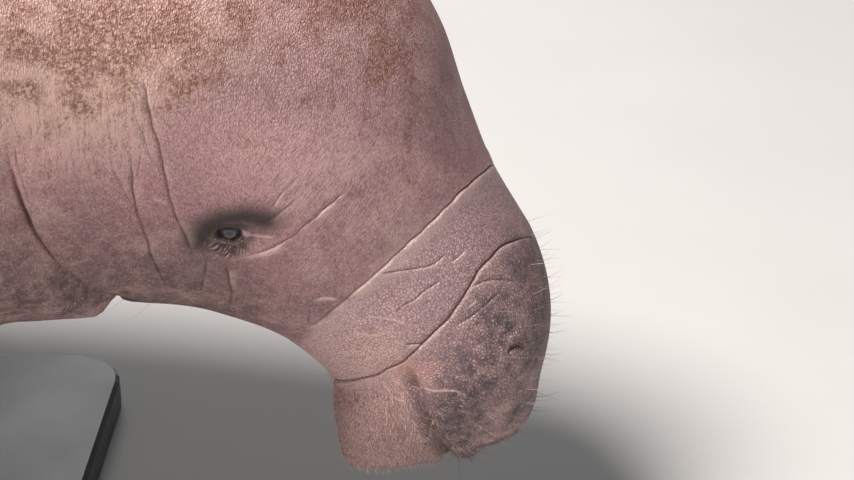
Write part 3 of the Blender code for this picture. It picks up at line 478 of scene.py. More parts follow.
def eye_marks(points):
    """Relief round the eye, with the painted shade of its hollow and the painted highlights of the
    lower lid.
    """
    centre, normal, forward, upward = EYE_FRAME
    offset = points - centre
    u, v = offset @ forward, offset @ upward
    near = np.linalg.norm(offset, axis=-1) < 3 * SOCKET[0]
    hollow = -SOCKET_DEPTH * bump(u / SOCKET[0]) * bump(v / SOCKET[1])
    ring = np.hypot(u / LID_OPENING[0], v / LID_OPENING[1])
    lids = LID_ROLL * bump((ring - LID_ROLL_PLACE) / LID_ROLL_WIDTH)
    opening = -LID_OPENING_DEPTH * (1 - rise(ring, *OPENING_EDGE))
    # Under the eye fine wrinkles run round the lid, and further out they spread from its knot.
    patch = (1 - rise(off_middle(u, v, LID_PATCH), *PATCH_EDGE)) * rise(ring, *PATCH_START)
    turn = np.arctan2(LID_KNOT[1] - v, LID_KNOT[0] - u)
    flat = np.stack([u, v, 0 * u], -1)
    stray = wander(flat, WRINKLE_BEND)
    rings = np.sin(2 * math.pi * WRINKLES_ROUND * ring + RING_BEND * stray)
    rays = np.sin(WRINKLES_OUT * turn + RAY_BEND * stray)
    outer = rise(ring + RAYS_UNEVEN * stray, *RAYS_START)
    wave = (rings + outer * (rays - rings)) * np.clip(
        BREAK_MIDDLE + BREAK_DEPTH * wander(flat, WRINKLE_BREAK), 0, 1)
    knot = bump(off_middle(u, v, LID_KNOT))
    wrinkles = WRINKLE_DEPTH * (wave * patch + KNOT_RISE * knot)
    # Painted shade fills the hollow, the lids, a faint patch below and the troughs of the wrinkles;
    # the painted highlights on the wrinkles' crests and the knot hold it off.
    dark = np.max([1 - rise(from_path(u, v, HOLLOW_PATH), HOLLOW_FULL, HOLLOW_GONE),
                   LIDS_DARK * (1 - rise(ring, *LIDS_SHADE)),
                   LIDS_DARK * (1 - rise(off_middle(u, v, UPPER_LID), *UPPER_LID_EDGE)),
                   BELOW_EYE_DARK * bump(off_middle(u, v, BELOW_EYE)), PATCH_DARK * patch], 0)
    pale = np.clip(np.clip(wave, 0, 1) ** 3 * patch * PALE_GAIN + knot, 0, 1)
    dark *= (1 - KNOT_HOLDS_OFF * knot) * (1 - PALE_HOLDS_OFF * pale)
    return (np.where(near, hollow + lids + opening + wrinkles, 0), np.where(near, dark, 0),
            np.where(near, pale, 0))


def nostril_marks(points):
    """A crescent slit, arched towards the forehead, with a low rim above it."""
    centre, normal, forward, upward = NOSTRIL_FRAME
    offset = points - centre
    u, v = offset @ forward, offset @ upward
    near = np.linalg.norm(offset, axis=-1) < 5 * NOSTRIL_HALF
    arch = v - NOSTRIL_ARCH * (1 - (u / NOSTRIL_HALF) ** 2)
    inside = 1 - rise(np.abs(u) / NOSTRIL_HALF, *NOSTRIL_ENDS)
    slit = bump(arch / NOSTRIL_SLIT) * inside
    rim = NOSTRIL_RIM * bump((arch - NOSTRIL_RIM_PLACE) / NOSTRIL_RIM_WIDTH) * inside
    return np.where(near, rim - NOSTRIL_DEPTH * slit, 0), np.where(near, slit, 0)


def mouth_marks(points, back):
    """The line of the mouth, the lips on both sides of it, and the cleft of the upper lip."""
    way = (MOUTH_FRONT - MOUTH_CORNER) / np.linalg.norm(MOUTH_FRONT - MOUTH_CORNER)
    flat = points[:, [0, 2]] - MOUTH_CORNER
    along = flat @ way
    ahead = flat @ np.array([-way[1], way[0]])
    on_mouth = rise(along, *MOUTH_START) * (back < MOUTH_END)
    groove = bump(ahead / LIP_GROOVE_WIDTH)
    upper, lower = (height * bump((ahead - place) / width)
                    for height, place, width in (UPPER_LIP, LOWER_LIP))
    side = np.abs(points[:, 1])
    face = rise(LOBES_END - back, 0, LOBES_FADE) * rise(ahead, *LOBES_EDGE)
    cleft = -LIP_CLEFT[0] * bump(side / LIP_CLEFT[1]) * face
    lobes = LIP_LOBES[0] * bump((side - LIP_LOBES[1]) / LIP_LOBES[2]) * face
    return on_mouth * (upper + lower - LIP_GROOVE * groove) + cleft + lobes, on_mouth * groove


# Hide: the shell's mesh, and where on it the skin differs
# The cast shell is a loft whose faces are split finer along the creases and round the eyes and
# nostrils. Each mark below is kept on its points for the paint and the bristles.

HEAD_RINGS, BODY_RINGS, SIDES = 124, 46, 164
HEAD_STRETCH = 0.80          # the head's rings reach back to the shoulders
MUZZLE_CAP = 0.03            # the rounded end of the muzzle, along the axis
CAP_RINGS = 14
# Faces this near to a line, or to the middle of an eye or nostril, are split once more.
SPLITS = ((0.0037, 0.030), (0.0021, 0.025), (0.0012, 0.021))
SEAM_BAND = math.radians(8)  # no face is split this near to the belly's middle
# Spots on the head, each by (ahead of the eye, above it) and its two half sizes, in millimetres
# The spots on the brow and low on the muzzle carry painted highlights.
SPOTS = {"brow_highlight": (15, 62, 60, 34), "bare_corner": (140, -106, 22, 12),
         "low_muzzle_highlight": (108, -90, 32, 22), "before_eye": (88, 42, 62, 48),
         "neck_side": (-120, 80, 55, 42)}
# Patches of algae on the head, as above, and the most of each
ALGAE_SPOTS = ((-101, 142, 34, 25, 1.0), (-46, 160, 26, 19, 1.0), (16, 166, 21, 14, 0.9),
               (-163, 146, 13, 12, 0.9), (-155, 175, 22, 8, 0.9), (-157, 110, 19, 16, 0.7),
               (-113, 101, 22, 15, 0.6), (-30, 125, 22, 17, 0.6), (102, 172, 27, 9, 0.9),
               (116, 129, 19, 21, 0.9), (135, 75, 18, 17, 0.6), (62, 158, 14, 16, 0.5))
# Over what stretch a mark sets in or dies away, in millimetres on the sheet, metres or degrees
EDGES = {
    "across_muzzle_crease": (-8, 4), "behind_muzzle": (0.21, 0.30), "front": (150, 250),
    "behind_mouth": (0.002, 0.010), "below_cheek_crease": (0.002, 0.012),
    "top": (25, 110), "top_dips": (-110, 0), "top_thins": (-60, 50), "top_ends": (150, 185),
    "crown_thins": (-60, 60), "crown_ends": (0.62, 1.10), "body": (0.62, 1.15),
    "band_starts": (50, 85), "band_ends": (180, 205), "whiskers_end": (0.13, 0.17),
    "flank": (0, 75), "flank_starts": (0.40, 0.60), "algae_thins": (0.80, 1.30),
    "under": (2, 48), "under_starts": (0.16, 0.30), "hairs_round_eye": (0.03, 0.05),
}
MUZZLE_LINE = (88, -52, 0.95)            # a point of the muzzle's crease on the sheet, and its slope
TOP_DIP = 45                             # the top reaches this much lower behind, on the sheet
TOP_THINNING, CROWN_THINNING, ALGAE_THINNING = 0.45, 0.5, 0.7
FRONT_LEVEL, FRONT_LEAN = -20, 0.6       # the painted front shade's edge leans back by this, from that height up
# The pale band painted as a highlight on the lip ahead of the muzzle's crease: its middle and half
# width across the crease, where it is widest and over what half length, and how strong it is
# elsewhere
BAND = (-9, 10, 138, 24, 0.45)
LIPS_AHEAD, LIPS_WIDTH = 0.014, 0.014    # from the mouth's line
CHIN_PART, BAND_PART, CORNER_PART, LIPS_PART = 0.24, 0.30, 0.25, 0.13    # where these end
# Painted shade in the nostril's slit and the mouth's groove, and the highlight painted on the band
NOSTRIL_DARK, MOUTH_DARK, BAND_PALE = 0.40, 0.25, 0.75
# Which way hairs lie, and how much of a mark it takes for its own way
CHIN_LIE, MUZZLE_LIE, BODY_LIE = (0.30, 0, -1.0), (0.70, 0, 0.30), (-0.75, 0, -0.60)
CHIN_TAKES, MUZZLE_TAKES = 0.3, 0.5


def shell_grid():
    """Distances back of the rings and angles of the sides; the seam lies along the belly."""
    cap = MUZZLE_CAP * (1 - np.cos(np.linspace(0, math.pi / 2, CAP_RINGS + 1)[1:-1]))
    head = np.linspace(MUZZLE_CAP, HEAD_STRETCH, HEAD_RINGS)
    bend = np.sin(np.linspace(0, math.pi / 2, BODY_RINGS)[1:-1])
    body = HEAD_STRETCH + (BODY_LENGTH - HEAD_STRETCH) * bend
    angles = np.linspace(-math.pi / 2, 1.5 * math.pi, SIDES, endpoint=False)
    return np.concatenate([cap, head, body]), angles


def near_features(back, angle, line_reach, hole_reach):
    """Which places of the shell lie that near to a line, or to an eye or nostril."""
    points = plain_skin(back, angle)
    points[:, 1] = -np.abs(points[:, 1])
    near = np.zeros(len(points), bool)
    for frame_of in (EYE_FRAME, NOSTRIL_FRAME):
        near |= np.linalg.norm(points - frame_of[0], axis=-1) < hole_reach
    for *_, line, _ in DRAWN_LINES:
        close = np.flatnonzero(np.all((points > line.min(0) - line_reach)
                                      & (points < line.max(0) + line_reach), -1) & ~near)
        if len(close):
            steps = np.linspace(0, 1, 4)[:3, None, None]
            dense = (line[:-1] + steps * (line[1:] - line[:-1])).reshape(-1, 3)
            away = np.linalg.norm(points[close][:, None] - dense[None], axis=-1).min(1)
            near[close[away < line_reach]] = True
    return near


def shell_faces():
    """The split loft as (back, angle) of each point, and its faces."""
    rings, angles = shell_grid()
    bm = bmesh.new()
    rows = [[bm.verts.new((back, angle, 0)) for angle in angles] for back in rings]
    for row, above in zip(rows, rows[1:]):
        for i in range(SIDES):
            j = (i + 1) % SIDES
            bm.faces.new((row[i], above[i], above[j], row[j]))
    nose = bm.verts.new((0, 0, 0))
    tail = bm.verts.new((BODY_LENGTH, 0, 0))
    for i in range(SIDES):
        j = (i + 1) % SIDES
        bm.faces.new((nose, rows[0][i], rows[0][j]))
        bm.faces.new((tail, rows[-1][j], rows[-1][i]))
    for line_reach, hole_reach in SPLITS:
        bm.verts.index_update()
        places = np.array([v.co[:2] for v in bm.verts])
        near = near_features(places[:, 0], places[:, 1], line_reach, hole_reach)
        low, high = -math.pi / 2 + SEAM_BAND, 1.5 * math.pi - SEAM_BAND
        near &= (places[:, 1] > low) & (places[:, 1] < high) & (places[:, 0] < HEAD_STRETCH)
        edges = {e for f in bm.faces if len(f.verts) == 4 and any(near[v.index] for v in f.verts)
                 for e in f.edges}
        bmesh.ops.subdivide_edges(bm, edges=list(edges), cuts=1, use_grid_fill=True)
    bm.verts.index_update()
    places = np.array([v.co[:2] for v in bm.verts])
    faces = [[v.index for v in f.verts] for f in bm.faces]
    bm.free()
    return places[:, 0], places[:, 1], faces


def over(edge, x):
    """From 0 to 1 over the stretch that EDGES has under this name."""
    return rise(x, *EDGES[edge])


def shell_marks(back, angle):
    """The skin's points, its marks by name, each from 0 to 1, and how hairs lie on it."""
    points = plain_skin(back, angle)
    normals = outward(back, angle)
    right = points.copy()
    right[:, 1] = -np.abs(points[:, 1])
    right_angle = np.arcsin(np.sin(angle))
    folds, dark, pale = fold_marks(right, right_angle)
    eye, socket, lower_lid_highlight = eye_marks(right)
    nostril, nostril_dark = nostril_marks(right)
    mouth, mouth_dark = mouth_marks(right, back)
    relief = folds + eye + nostril + mouth
    ahead, above = on_sheet(right)[0].T * 1000
    turned = np.degrees(right_angle)
    # Ahead of the line of the muzzle's crease the grain is coarse and the colour is greyer.
    line_ahead, line_above, slope = MUZZLE_LINE
    crease_line = above - line_above - slope * (ahead - line_ahead)
    muzzle = (1 - over("across_muzzle_crease", crease_line)) * (1 - over("behind_muzzle", back))
    flat = right[:, [0, 2]] - MOUTH_CORNER
    (front_x, front_z), (chin_x, chin_z) = (
        (end - MOUTH_CORNER) / np.linalg.norm(end - MOUTH_CORNER) for end in (MOUTH_FRONT, CHIN_BACK))
    behind_mouth = flat @ np.array([front_z, -front_x])
    below_crease = flat @ np.array([-chin_z, chin_x])
    chin = (over("behind_mouth", behind_mouth) * over("below_cheek_crease", below_crease)
            * (back < CHIN_PART))
    top = (over("top", above - TOP_DIP * over("top_dips", ahead)) * (1 - over("top_ends", ahead))
           * (1 - TOP_THINNING * over("top_thins", ahead)))
    # Along the muzzle's crease the lip is painted pale as a highlight, widest half way up.
    band_middle, band_half, widest, widest_half, elsewhere = BAND
    lip_highlight_band = (bump((crease_line - band_middle) / band_half)
            * (elsewhere + (1 - elsewhere) * bump((ahead - widest) / widest_half))
            * over("band_starts", ahead) * (1 - over("band_ends", ahead)) * (back < BAND_PART))
    spot = {name: bump(off_middle(ahead, above, place)) for name, place in SPOTS.items()}
    patches = np.max([most * bump(off_middle(ahead, above, place))
                      for *place, most in ALGAE_SPOTS], 0)
    marks = {
        # Painted shade in the bottoms of the creases, in the nostrils' slits and in the mouth's
        # groove.
        "crease": np.clip(dark + NOSTRIL_DARK * nostril_dark + MOUTH_DARK * mouth_dark, 0, 1),
        # Pale paint: painted highlights on the lips' rims, the band along the muzzle's crease and the
        # lower lid's wrinkles, with the pale of scars and raised lines.
        "rim": np.clip(pale + lower_lid_highlight + BAND_PALE * lip_highlight_band, 0, 1),
        # Painted shade of the eye's hollow and lids.
        "socket": np.clip(socket, 0, 1),
        "muzzle": muzzle,
        # The muzzle's front, which faces away from the key light, is painted dark: painted shade over
        # its greyer tone.
        "front": muzzle * over("front", ahead - FRONT_LEAN * (above - FRONT_LEVEL)),
        # A painted highlight on the brow, where the light from above falls.
        "brow_highlight": spot["brow_highlight"],
        "bare_corner": spot["bare_corner"] * (back < CORNER_PART),
        # The crown is painted paler and warmer: painted light from above over its warmer tone.
        "crown_light_and_tone": (top * (1 - CROWN_THINNING * over("crown_thins", ahead))
                  * (1 - over("crown_ends", back))),
        "body": over("body", back),
        # A painted highlight low on the muzzle, where it bulges towards the light.
        "low_muzzle_highlight": spot["low_muzzle_highlight"] * muzzle,
        "algae": (np.maximum(top, over("flank", turned) * over("flank_starts", back))
                  * (1 - ALGAE_THINNING * over("algae_thins", back))),
        "algae_spots": patches * (1 - muzzle) * (back < HEAD_STRETCH),
        "before_eye": spot["before_eye"] * (1 - muzzle),
        "neck_side": spot["neck_side"],
        # The underside is painted darker as shade.
        "under": over("under", -turned) * over("under_starts", back),
        "chin": chin,
        "lips": bump((behind_mouth + LIPS_AHEAD) / LIPS_WIDTH) * (back < LIPS_PART),
        "whiskers": muzzle * (1 - chin) * (1 - over("whiskers_end", back)),
        "body_hairs": (1 - muzzle) * over(
            "hairs_round_eye", np.linalg.norm(right - EYE_FRAME[0], axis=-1)),
    }
    lie = np.where(chin[:, None] > CHIN_TAKES, CHIN_LIE, BODY_LIE)
    lie = np.where((muzzle * (1 - chin))[:, None] > MUZZLE_TAKES, MUZZLE_LIE, lie)
    return points + normals * relief[:, None], marks, lie


# Flippers, as part of the hide
# A manatee's fore flipper is a flat, leathery paddle that tapers from a thick root. Faint ridges
# over the finger bones run out to the nails, and its skin runs into the chest's without a seam.

FLIPPER_ROOT = (MUZZLE_X - 0.575, 0.170, MUZZLE_Z + 0.250)   # its middle, inside the chest
FLIPPER_AIM = (-0.46, 0.65, -0.60)       # where the flipper points, left side
FLIPPER_LENGTH = 0.50                    # from that middle to the tip
FLIPPER_SWEEP = 0.055                    # how far the tip curves back
FLIPPER_SECTIONS = (
    # along  half chord  half thickness
    (0.00, 0.085, 0.050),
    (0.25, 0.072, 0.041),
    (0.45, 0.070, 0.031),
    (0.70, 0.078, 0.021),
    (0.88, 0.074, 0.014),
    (1.00, 0.066, 0.010),
)
FLIPPER_ROUNDING = (0.22, 2.2)
FLIPPER_RINGS, FLIPPER_SIDES = 54, 48
FINGER_RIDGES, FINGER_RIDGE_HEIGHT = 4, 0.0016
ELBOW_FOLDS = ((0.150, 0.0018), (0.172, 0.0022), (0.196, 0.0015))    # along, depth
FOLD_HALF_WIDTH = 0.0045
FLIPPER_START = 0.03                     # the casting begins here, inside the chest
RIDGES_START, RIDGES_END = (0.45, 0.7), (0.93, 1.0)      # in flipper lengths


def flipper_frame(side):
    aim = Vector((FLIPPER_AIM[0], side * FLIPPER_AIM[1], FLIPPER_AIM[2])).normalized()
    chord = (Vector((1, 0, 0)) - aim * aim.x).normalized()
    face = chord.cross(aim) * side
    root = Vector((FLIPPER_ROOT[0], side * FLIPPER_ROOT[1], FLIPPER_ROOT[2]))
    return (np.array(v) for v in (root, aim, chord, face))


def flipper_section(side, along):
    """The middle of the flipper's section there, with its half chord and half thickness."""
    root, aim, chord, _ = flipper_frame(side)
    place, half_chord, half_thick = np.array(FLIPPER_SECTIONS).T
    t = along / FLIPPER_LENGTH
    end = float(closing(1 - t, *FLIPPER_ROUNDING))
    wide = float(between(t, place, half_chord)) * end
    thick = float(between(t, place, half_thick)) * end ** 0.5
    return root + aim * along - chord * FLIPPER_SWEEP * t * t, wide, thick


def meshed(name, bm):
    """The finished mesh, with its faces outwards."""
    bmesh.ops.recalc_face_normals(bm, faces=bm.faces)
    mesh = bpy.data.meshes.new(name)
    bm.to_mesh(mesh)
    bm.free()
    return mesh


def flipper_mesh(side):
    """One flipper as a closed loft, with the creases of its elbow and its finger ridges."""
    _, _, chord, face = flipper_frame(side)
    places = FLIPPER_START + (FLIPPER_LENGTH - FLIPPER_START) * np.sin(
        np.linspace(0, math.pi / 2, FLIPPER_RINGS + 1)[:-1])
    turns = np.linspace(0, 2 * math.pi, FLIPPER_SIDES, endpoint=False)
    rings = []
    for along in places:
        middle, wide, thick = flipper_section(side, along)
        t = along / FLIPPER_LENGTH
        ridge = FINGER_RIDGE_HEIGHT * rise(t, *RIDGES_START) * (1 - rise(t, *RIDGES_END))
        fold = sum(depth * bump((along - at) / FOLD_HALF_WIDTH) for at, depth in ELBOW_FOLDS)
        across, up = np.cos(turns), np.sin(turns)
        lift = ridge * (np.cos(math.pi * FINGER_RIDGES * across) - 1) / 2 - fold
        rings.append(middle + np.outer(across * (wide - fold), chord)
                     + np.outer(up * thick + lift * up, face))
    bm = bmesh.new()
    rows = [[bm.verts.new(p) for p in ring] for ring in rings]
    tip = bm.verts.new(flipper_section(side, FLIPPER_LENGTH)[0])
    for row, further in zip(rows, rows[1:]):
        for i in range(FLIPPER_SIDES):
            j = (i + 1) % FLIPPER_SIDES
            bm.faces.new([row[i], row[j], further[j], further[i]])
    for i in range(FLIPPER_SIDES):
        bm.faces.new([rows[-1][i], rows[-1][(i + 1) % FLIPPER_SIDES], tip])
    bm.faces.new(rows[0])
    return meshed("flipper", bm)


# Hide: joining the shell
# The three castings are fused and the seams are filled and smoothed, so that the armpits run
# round as they do on the animal.

SEAM_REACH = 0.040           # the filler's reach on both sides of a seam
SEAM_CORE = 0.3              # within this share of it the filler is full
SEAM_PASSES, SEAM_STEP = 60, 0.6
SAME_PLACE, SEAM_NEAR = 1e-5, 0.006      # how far from the shell a kept point and a new one may lie
MARKS_END = (0.010, 0.050)               # the shell's marks die away over this distance from it
SEAM_STARTS, SEAM_ENDS = 0.3, 0.7        # a face of the unwrap that spans these crosses its seam


def linked(name, mesh):
    made = bpy.data.objects.new(name, mesh)
    bpy.context.scene.collection.objects.link(made)
    return made


def applied(thing):
    """The object with its modifiers made part of its mesh."""
    bpy.context.view_layer.update()
    seen = thing.evaluated_get(bpy.context.evaluated_depsgraph_get())
    mesh = bpy.data.meshes.new_from_object(seen)
    thing.modifiers.clear()
    thing.data = mesh
    return thing


def sought(points):
    """A tree in which the nearest of these points is found."""
    tree = KDTree(len(points))
    for i, p in enumerate(points):
        tree.insert(p, i)
    tree.balance()
    return tree


def smoothed_seams(mesh, moved):
    """Smooths the surface round the points that the join has made."""
    points = np.array([v.co for v in mesh.vertices])
    seam = sought(points[moved])
    low, high = points[moved].min(0) - SEAM_REACH, points[moved].max(0) + SEAM_REACH
    weight = np.zeros(len(points))
    for i in np.flatnonzero(np.all((points > low) & (points < high), -1)):
        weight[i] = 1 - rise(seam.find(points[i])[2] / SEAM_REACH, SEAM_CORE, 1)
    edges = np.array([e.vertices for e in mesh.edges])
    edges = edges[(weight[edges] > 0).any(1)]
    both = np.concatenate([edges, edges[:, ::-1]])
    degree = np.maximum(np.bincount(both[:, 0], minlength=len(points)), 1)
    for _ in range(SEAM_PASSES):
        mean = np.stack([np.bincount(both[:, 0], points[both[:, 1], k], len(points))
                         for k in range(3)], -1) / degree[:, None]
        points += (SEAM_STEP * weight * (degree > 2))[:, None] * (mean - points)
    mesh.vertices.foreach_set("co", points.ravel())
    mesh.update()


def joined_hide():
    """The whole hide in one closed mesh, with its marks and its unwrap."""
    back, angle, faces = shell_faces()
    points, marks, lie = shell_marks(back, angle)
    unwrap = np.stack([(angle + math.pi / 2) / (2 * math.pi), back / BODY_LENGTH], -1)
    mesh = bpy.data.meshes.new("hide")
    mesh.from_pydata(points.tolist(), [], faces)
    mesh.update()
    hide = linked("hide", mesh)
    for side in (-1, 1):
        flipper = linked("flipper", flipper_mesh(side))
        join = hide.modifiers.new("join", "BOOLEAN")
        join.operation = "UNION"
        join.solver = "EXACT"
        join.object = flipper
        applied(hide)
        bpy.data.objects.remove(flipper)
    mesh = hide.data
    shell = sought(points)
    _, nearest, away = (np.array(column) for column in zip(*(
        shell.find(v.co) for v in mesh.vertices)))
    on_shell = away < SAME_PLACE
    beside = np.zeros(len(away), bool)
    for edge in mesh.edges:
        a, b = edge.vertices
        beside[a] |= on_shell[b]
        beside[b] |= on_shell[a]
    smoothed_seams(mesh, ~on_shell & (away < SEAM_NEAR) & beside)
    on_body = np.where(on_shell, 1, 1 - rise(away, *MARKS_END))
    for name, values in marks.items():
        # The flippers take the trunk's grey and none of the other marks.
        beyond = 1.0 if name == "body" else 0.0
        kept = mesh.attributes.new(name, "FLOAT", "POINT")
        kept.data.foreach_set("value", beyond + (values[nearest] - beyond) * on_body)
    lies = mesh.attributes.new("lie", "FLOAT_VECTOR", "POINT")
    lies.data.foreach_set("vector", lie[nearest].ravel())
    uv = mesh.uv_layers.new(name="unwrap")
    corner = np.array([loop.vertex_index for loop in mesh.loops])
    places = unwrap[nearest[corner]]
    face_of = np.repeat(np.arange(len(mesh.polygons)), [p.loop_total for p in mesh.polygons])
    highest = np.zeros(len(mesh.polygons))
    np.maximum.at(highest, face_of, places[:, 0])
    places[:, 0] += (places[:, 0] < SEAM_STARTS) & (highest[face_of] > SEAM_ENDS)
    uv.data.foreach_set("uv", places.ravel())
    mesh.shade_smooth()
    return hide


hide = joined_hide()

# Hide: the paint
# Living manatee hide is matt, mauve grey and pinker where blood shows through, with algae on the
# crown. The model's is matt acrylic over textured resin, with the grain pressed into the resin:
# pebbles on the muzzle, fine upright hatching on the cheek and neck.
# Some of the paint stands in for light and shade: painted shade in the creases, the eye's hollow, the
# grain's grooves, the underside and the muzzle's front, and painted light on the crown, the brow, low
# on the muzzle, the lips' rims, the lower lid's wrinkles and the grain's tops.


def paint(code):
    """An sRGB hex colour as the linear values that shaders take."""
    parts = [int(code[i:i + 2], 16) / 255 for i in (1, 3, 5)]
    return (*(p / 12.92 if p <= 0.04045 else ((p + 0.055) / 1.055) ** 2.4 for p in parts), 1)


def feed(tree, node, inputs):
    """Gives a node's inputs plain values, or the sockets that feed them."""
    for key, value in inputs.items():
        if isinstance(value, bpy.types.NodeSocket):
            tree.links.new(value, node.inputs[key])
        else:
            node.inputs[key].default_value = value


def add_node(tree, kind, inputs=None, **settings):
    """Adds a node with its settings, and feeds it."""
    made = tree.nodes.new(kind)
    for name, value in settings.items():
        setattr(made, name, value)
    feed(tree, made, inputs or {})
    return made


def new_finish(name, roughness, metallic=0.0):
    """A material with its tree, its shader and the coordinate that its patterns lie on."""
    finish = bpy.data.materials.new(name)
    finish.use_nodes = True
    tree = finish.node_tree
    shader = tree.nodes["Principled BSDF"]
    feed(tree, shader, {"Roughness": roughness, "Metallic": metallic})
    return finish, tree, shader, add_node(tree, "ShaderNodeTexCoord").outputs["Object"]


def layered(tree, colour, layers):
    """The colour under layers of: what shows it, from where to where, which mark holds it, how
    strong it is at most, and the paint."""
    for shown, low, high, held, strength, code in layers:
        by = add_node(tree, "ShaderNodeMapRange", {
            "Value": shown, "From Min": low, "From Max": high, "To Max": strength}).outputs["Result"]
        if held:
            by = add_node(tree, "ShaderNodeMath", {0: by, 1: held}, operation="MULTIPLY").outputs[0]
        colour = add_node(tree, "ShaderNodeMix", {0: by, 6: colour, 7: paint(code)},
                          data_type="RGBA").outputs[2]
    return colour


def in_grains(tree, coordinate, degrees, size):
    """The coordinate turned about the body's width and measured in grains of this size."""
    turn = add_node(tree, "ShaderNodeVectorRotate",
                    {"Vector": coordinate, "Angle": math.radians(degrees)},
                    rotation_type="Y_AXIS").outputs["Vector"]
    return add_node(tree, "ShaderNodeVectorMath", {0: turn, 1: tuple(1 / s for s in size)},
                    operation="MULTIPLY").outputs["Vector"]


# Each grain: turn about the body's width in degrees, size of a grain in metres, detail,
# distortion, and the part of its noise that is stretched from 0 to 1
GRAINS = {
    "hatching": (-7, (0.0010, 0.0010, 0.0050), 2.0, 0.6, (0.34, 0.66)),
    "striae": (-42, (0.0013, 0.0013, 0.0180), 2.0, 0.3, (0.36, 0.64)),
    "furrows": (-4, (0.0030, 0.0030, 0.0200), 2.0, 0.4, (0.36, 0.60)),
    "leather": (0, (0.0026, 0.0026, 0.0026), 5.0, 0.0, (0.30, 0.70)),
}
# Small fields of skin with grooves between them: turn and size, as above
FIELDS = {"wrinkles": (-7, (0.0019, 0.0019, 0.0034)), "pebbles": (-42, (0.0025, 0.0023, 0.0032))}
GROOVE = (0.02, 0.30)        # a groove runs from its bottom to the field's level between these
GRAIN_HEIGHT = 0.0009
GRAIN_ROUGHNESS, TONE_ROUGHNESS = 0.55, 0.66     # how much of the finer steps a noise has
TONES = {"broad": 0.170, "blotch": 0.045, "mottle": 0.009, "speckle": 0.0022, "algae": 0.022,
         "specks": 0.0027}

hide_finish, tree, shader, coordinate = new_finish("matt_painted_hide", 0.62)
mark = {name: add_node(tree, "ShaderNodeAttribute", attribute_name=name).outputs["Fac"]
        for name in ("crease", "rim", "socket", "muzzle", "front", "bare_corner", "algae",
                     "algae_spots", "crown_light_and_tone", "before_eye", "neck_side", "brow_highlight", "under", "chin",
                     "body", "low_muzzle_highlight")}
grain = {}
for name, (degrees, size, detail, distortion, part) in GRAINS.items():
    noise = add_node(tree, "ShaderNodeTexNoise", {
        "Vector": in_grains(tree, coordinate, degrees, size), "Scale": 1.0, "Detail": detail,
        "Roughness": GRAIN_ROUGHNESS, "Distortion": distortion}).outputs["Fac"]
    grain[name] = add_node(tree, "ShaderNodeMapRange",
                           {"Value": noise, "From Min": part[0], "From Max": part[1]}
                           ).outputs["Result"]
for name, (degrees, size) in FIELDS.items():
    groove = add_node(tree, "ShaderNodeTexVoronoi", {
        "Vector": in_grains(tree, coordinate, degrees, size), "Scale": 1.0},
        feature="DISTANCE_TO_EDGE").outputs["Distance"]
    grain[name] = add_node(tree, "ShaderNodeMapRange", {
        "Value": groove, "From Min": GROOVE[0], "From Max": GROOVE[1]}).outputs["Result"]
tone = {}
for name, size in TONES.items():
    tone[name] = add_node(tree, "ShaderNodeTexNoise",
                          {"Vector": coordinate, "Scale": 1 / size, "Detail": 5.0,
                           "Roughness": TONE_ROUGHNESS}).outputs["Fac"]

# How much of each grain there is, place by place; the parts are summed to one height
smooth = add_node(tree, "ShaderNodeMath", {0: 1.0, 1: mark["muzzle"]},
                  operation="SUBTRACT").outputs[0]
furrowed, necked = (
    add_node(tree, "ShaderNodeMath", {0: smooth, 1: mark[name]}, operation="MULTIPLY").outputs[0]
    for name in ("before_eye", "neck_side"))
height = add_node(tree, "ShaderNodeMath", {0: grain["leather"], 1: 0.35},
                  operation="MULTIPLY").outputs[0]
for name, share, weight in (("hatching", smooth, 0.26), ("wrinkles", smooth, 0.36),
                            ("striae", furrowed, 0.62), ("furrows", necked, 0.50),
                            ("pebbles", mark["muzzle"], 0.60)):
    by = add_node(tree, "ShaderNodeMath", {0: share, 1: weight}, operation="MULTIPLY").outputs[0]
    height = add_node(tree, "ShaderNodeMath", {0: grain[name], 1: by, 2: height},
                      operation="MULTIPLY_ADD").outputs[0]

# Algae grow in ragged patches: the marks only say how readily they take hold.
taken = tone["algae"]
for source, share in ((mark["algae_spots"], 0.30), (mark["algae"], 0.10), (tone["broad"], 0.50)):
    taken = add_node(tree, "ShaderNodeMath", {0: source, 1: share, 2: taken},
                     operation="MULTIPLY_ADD").outputs[0]
algae = add_node(tree, "ShaderNodeMapRange", {"Value": taken, "From Min": 0.84,
                                              "From Max": 1.00}).outputs["Result"]

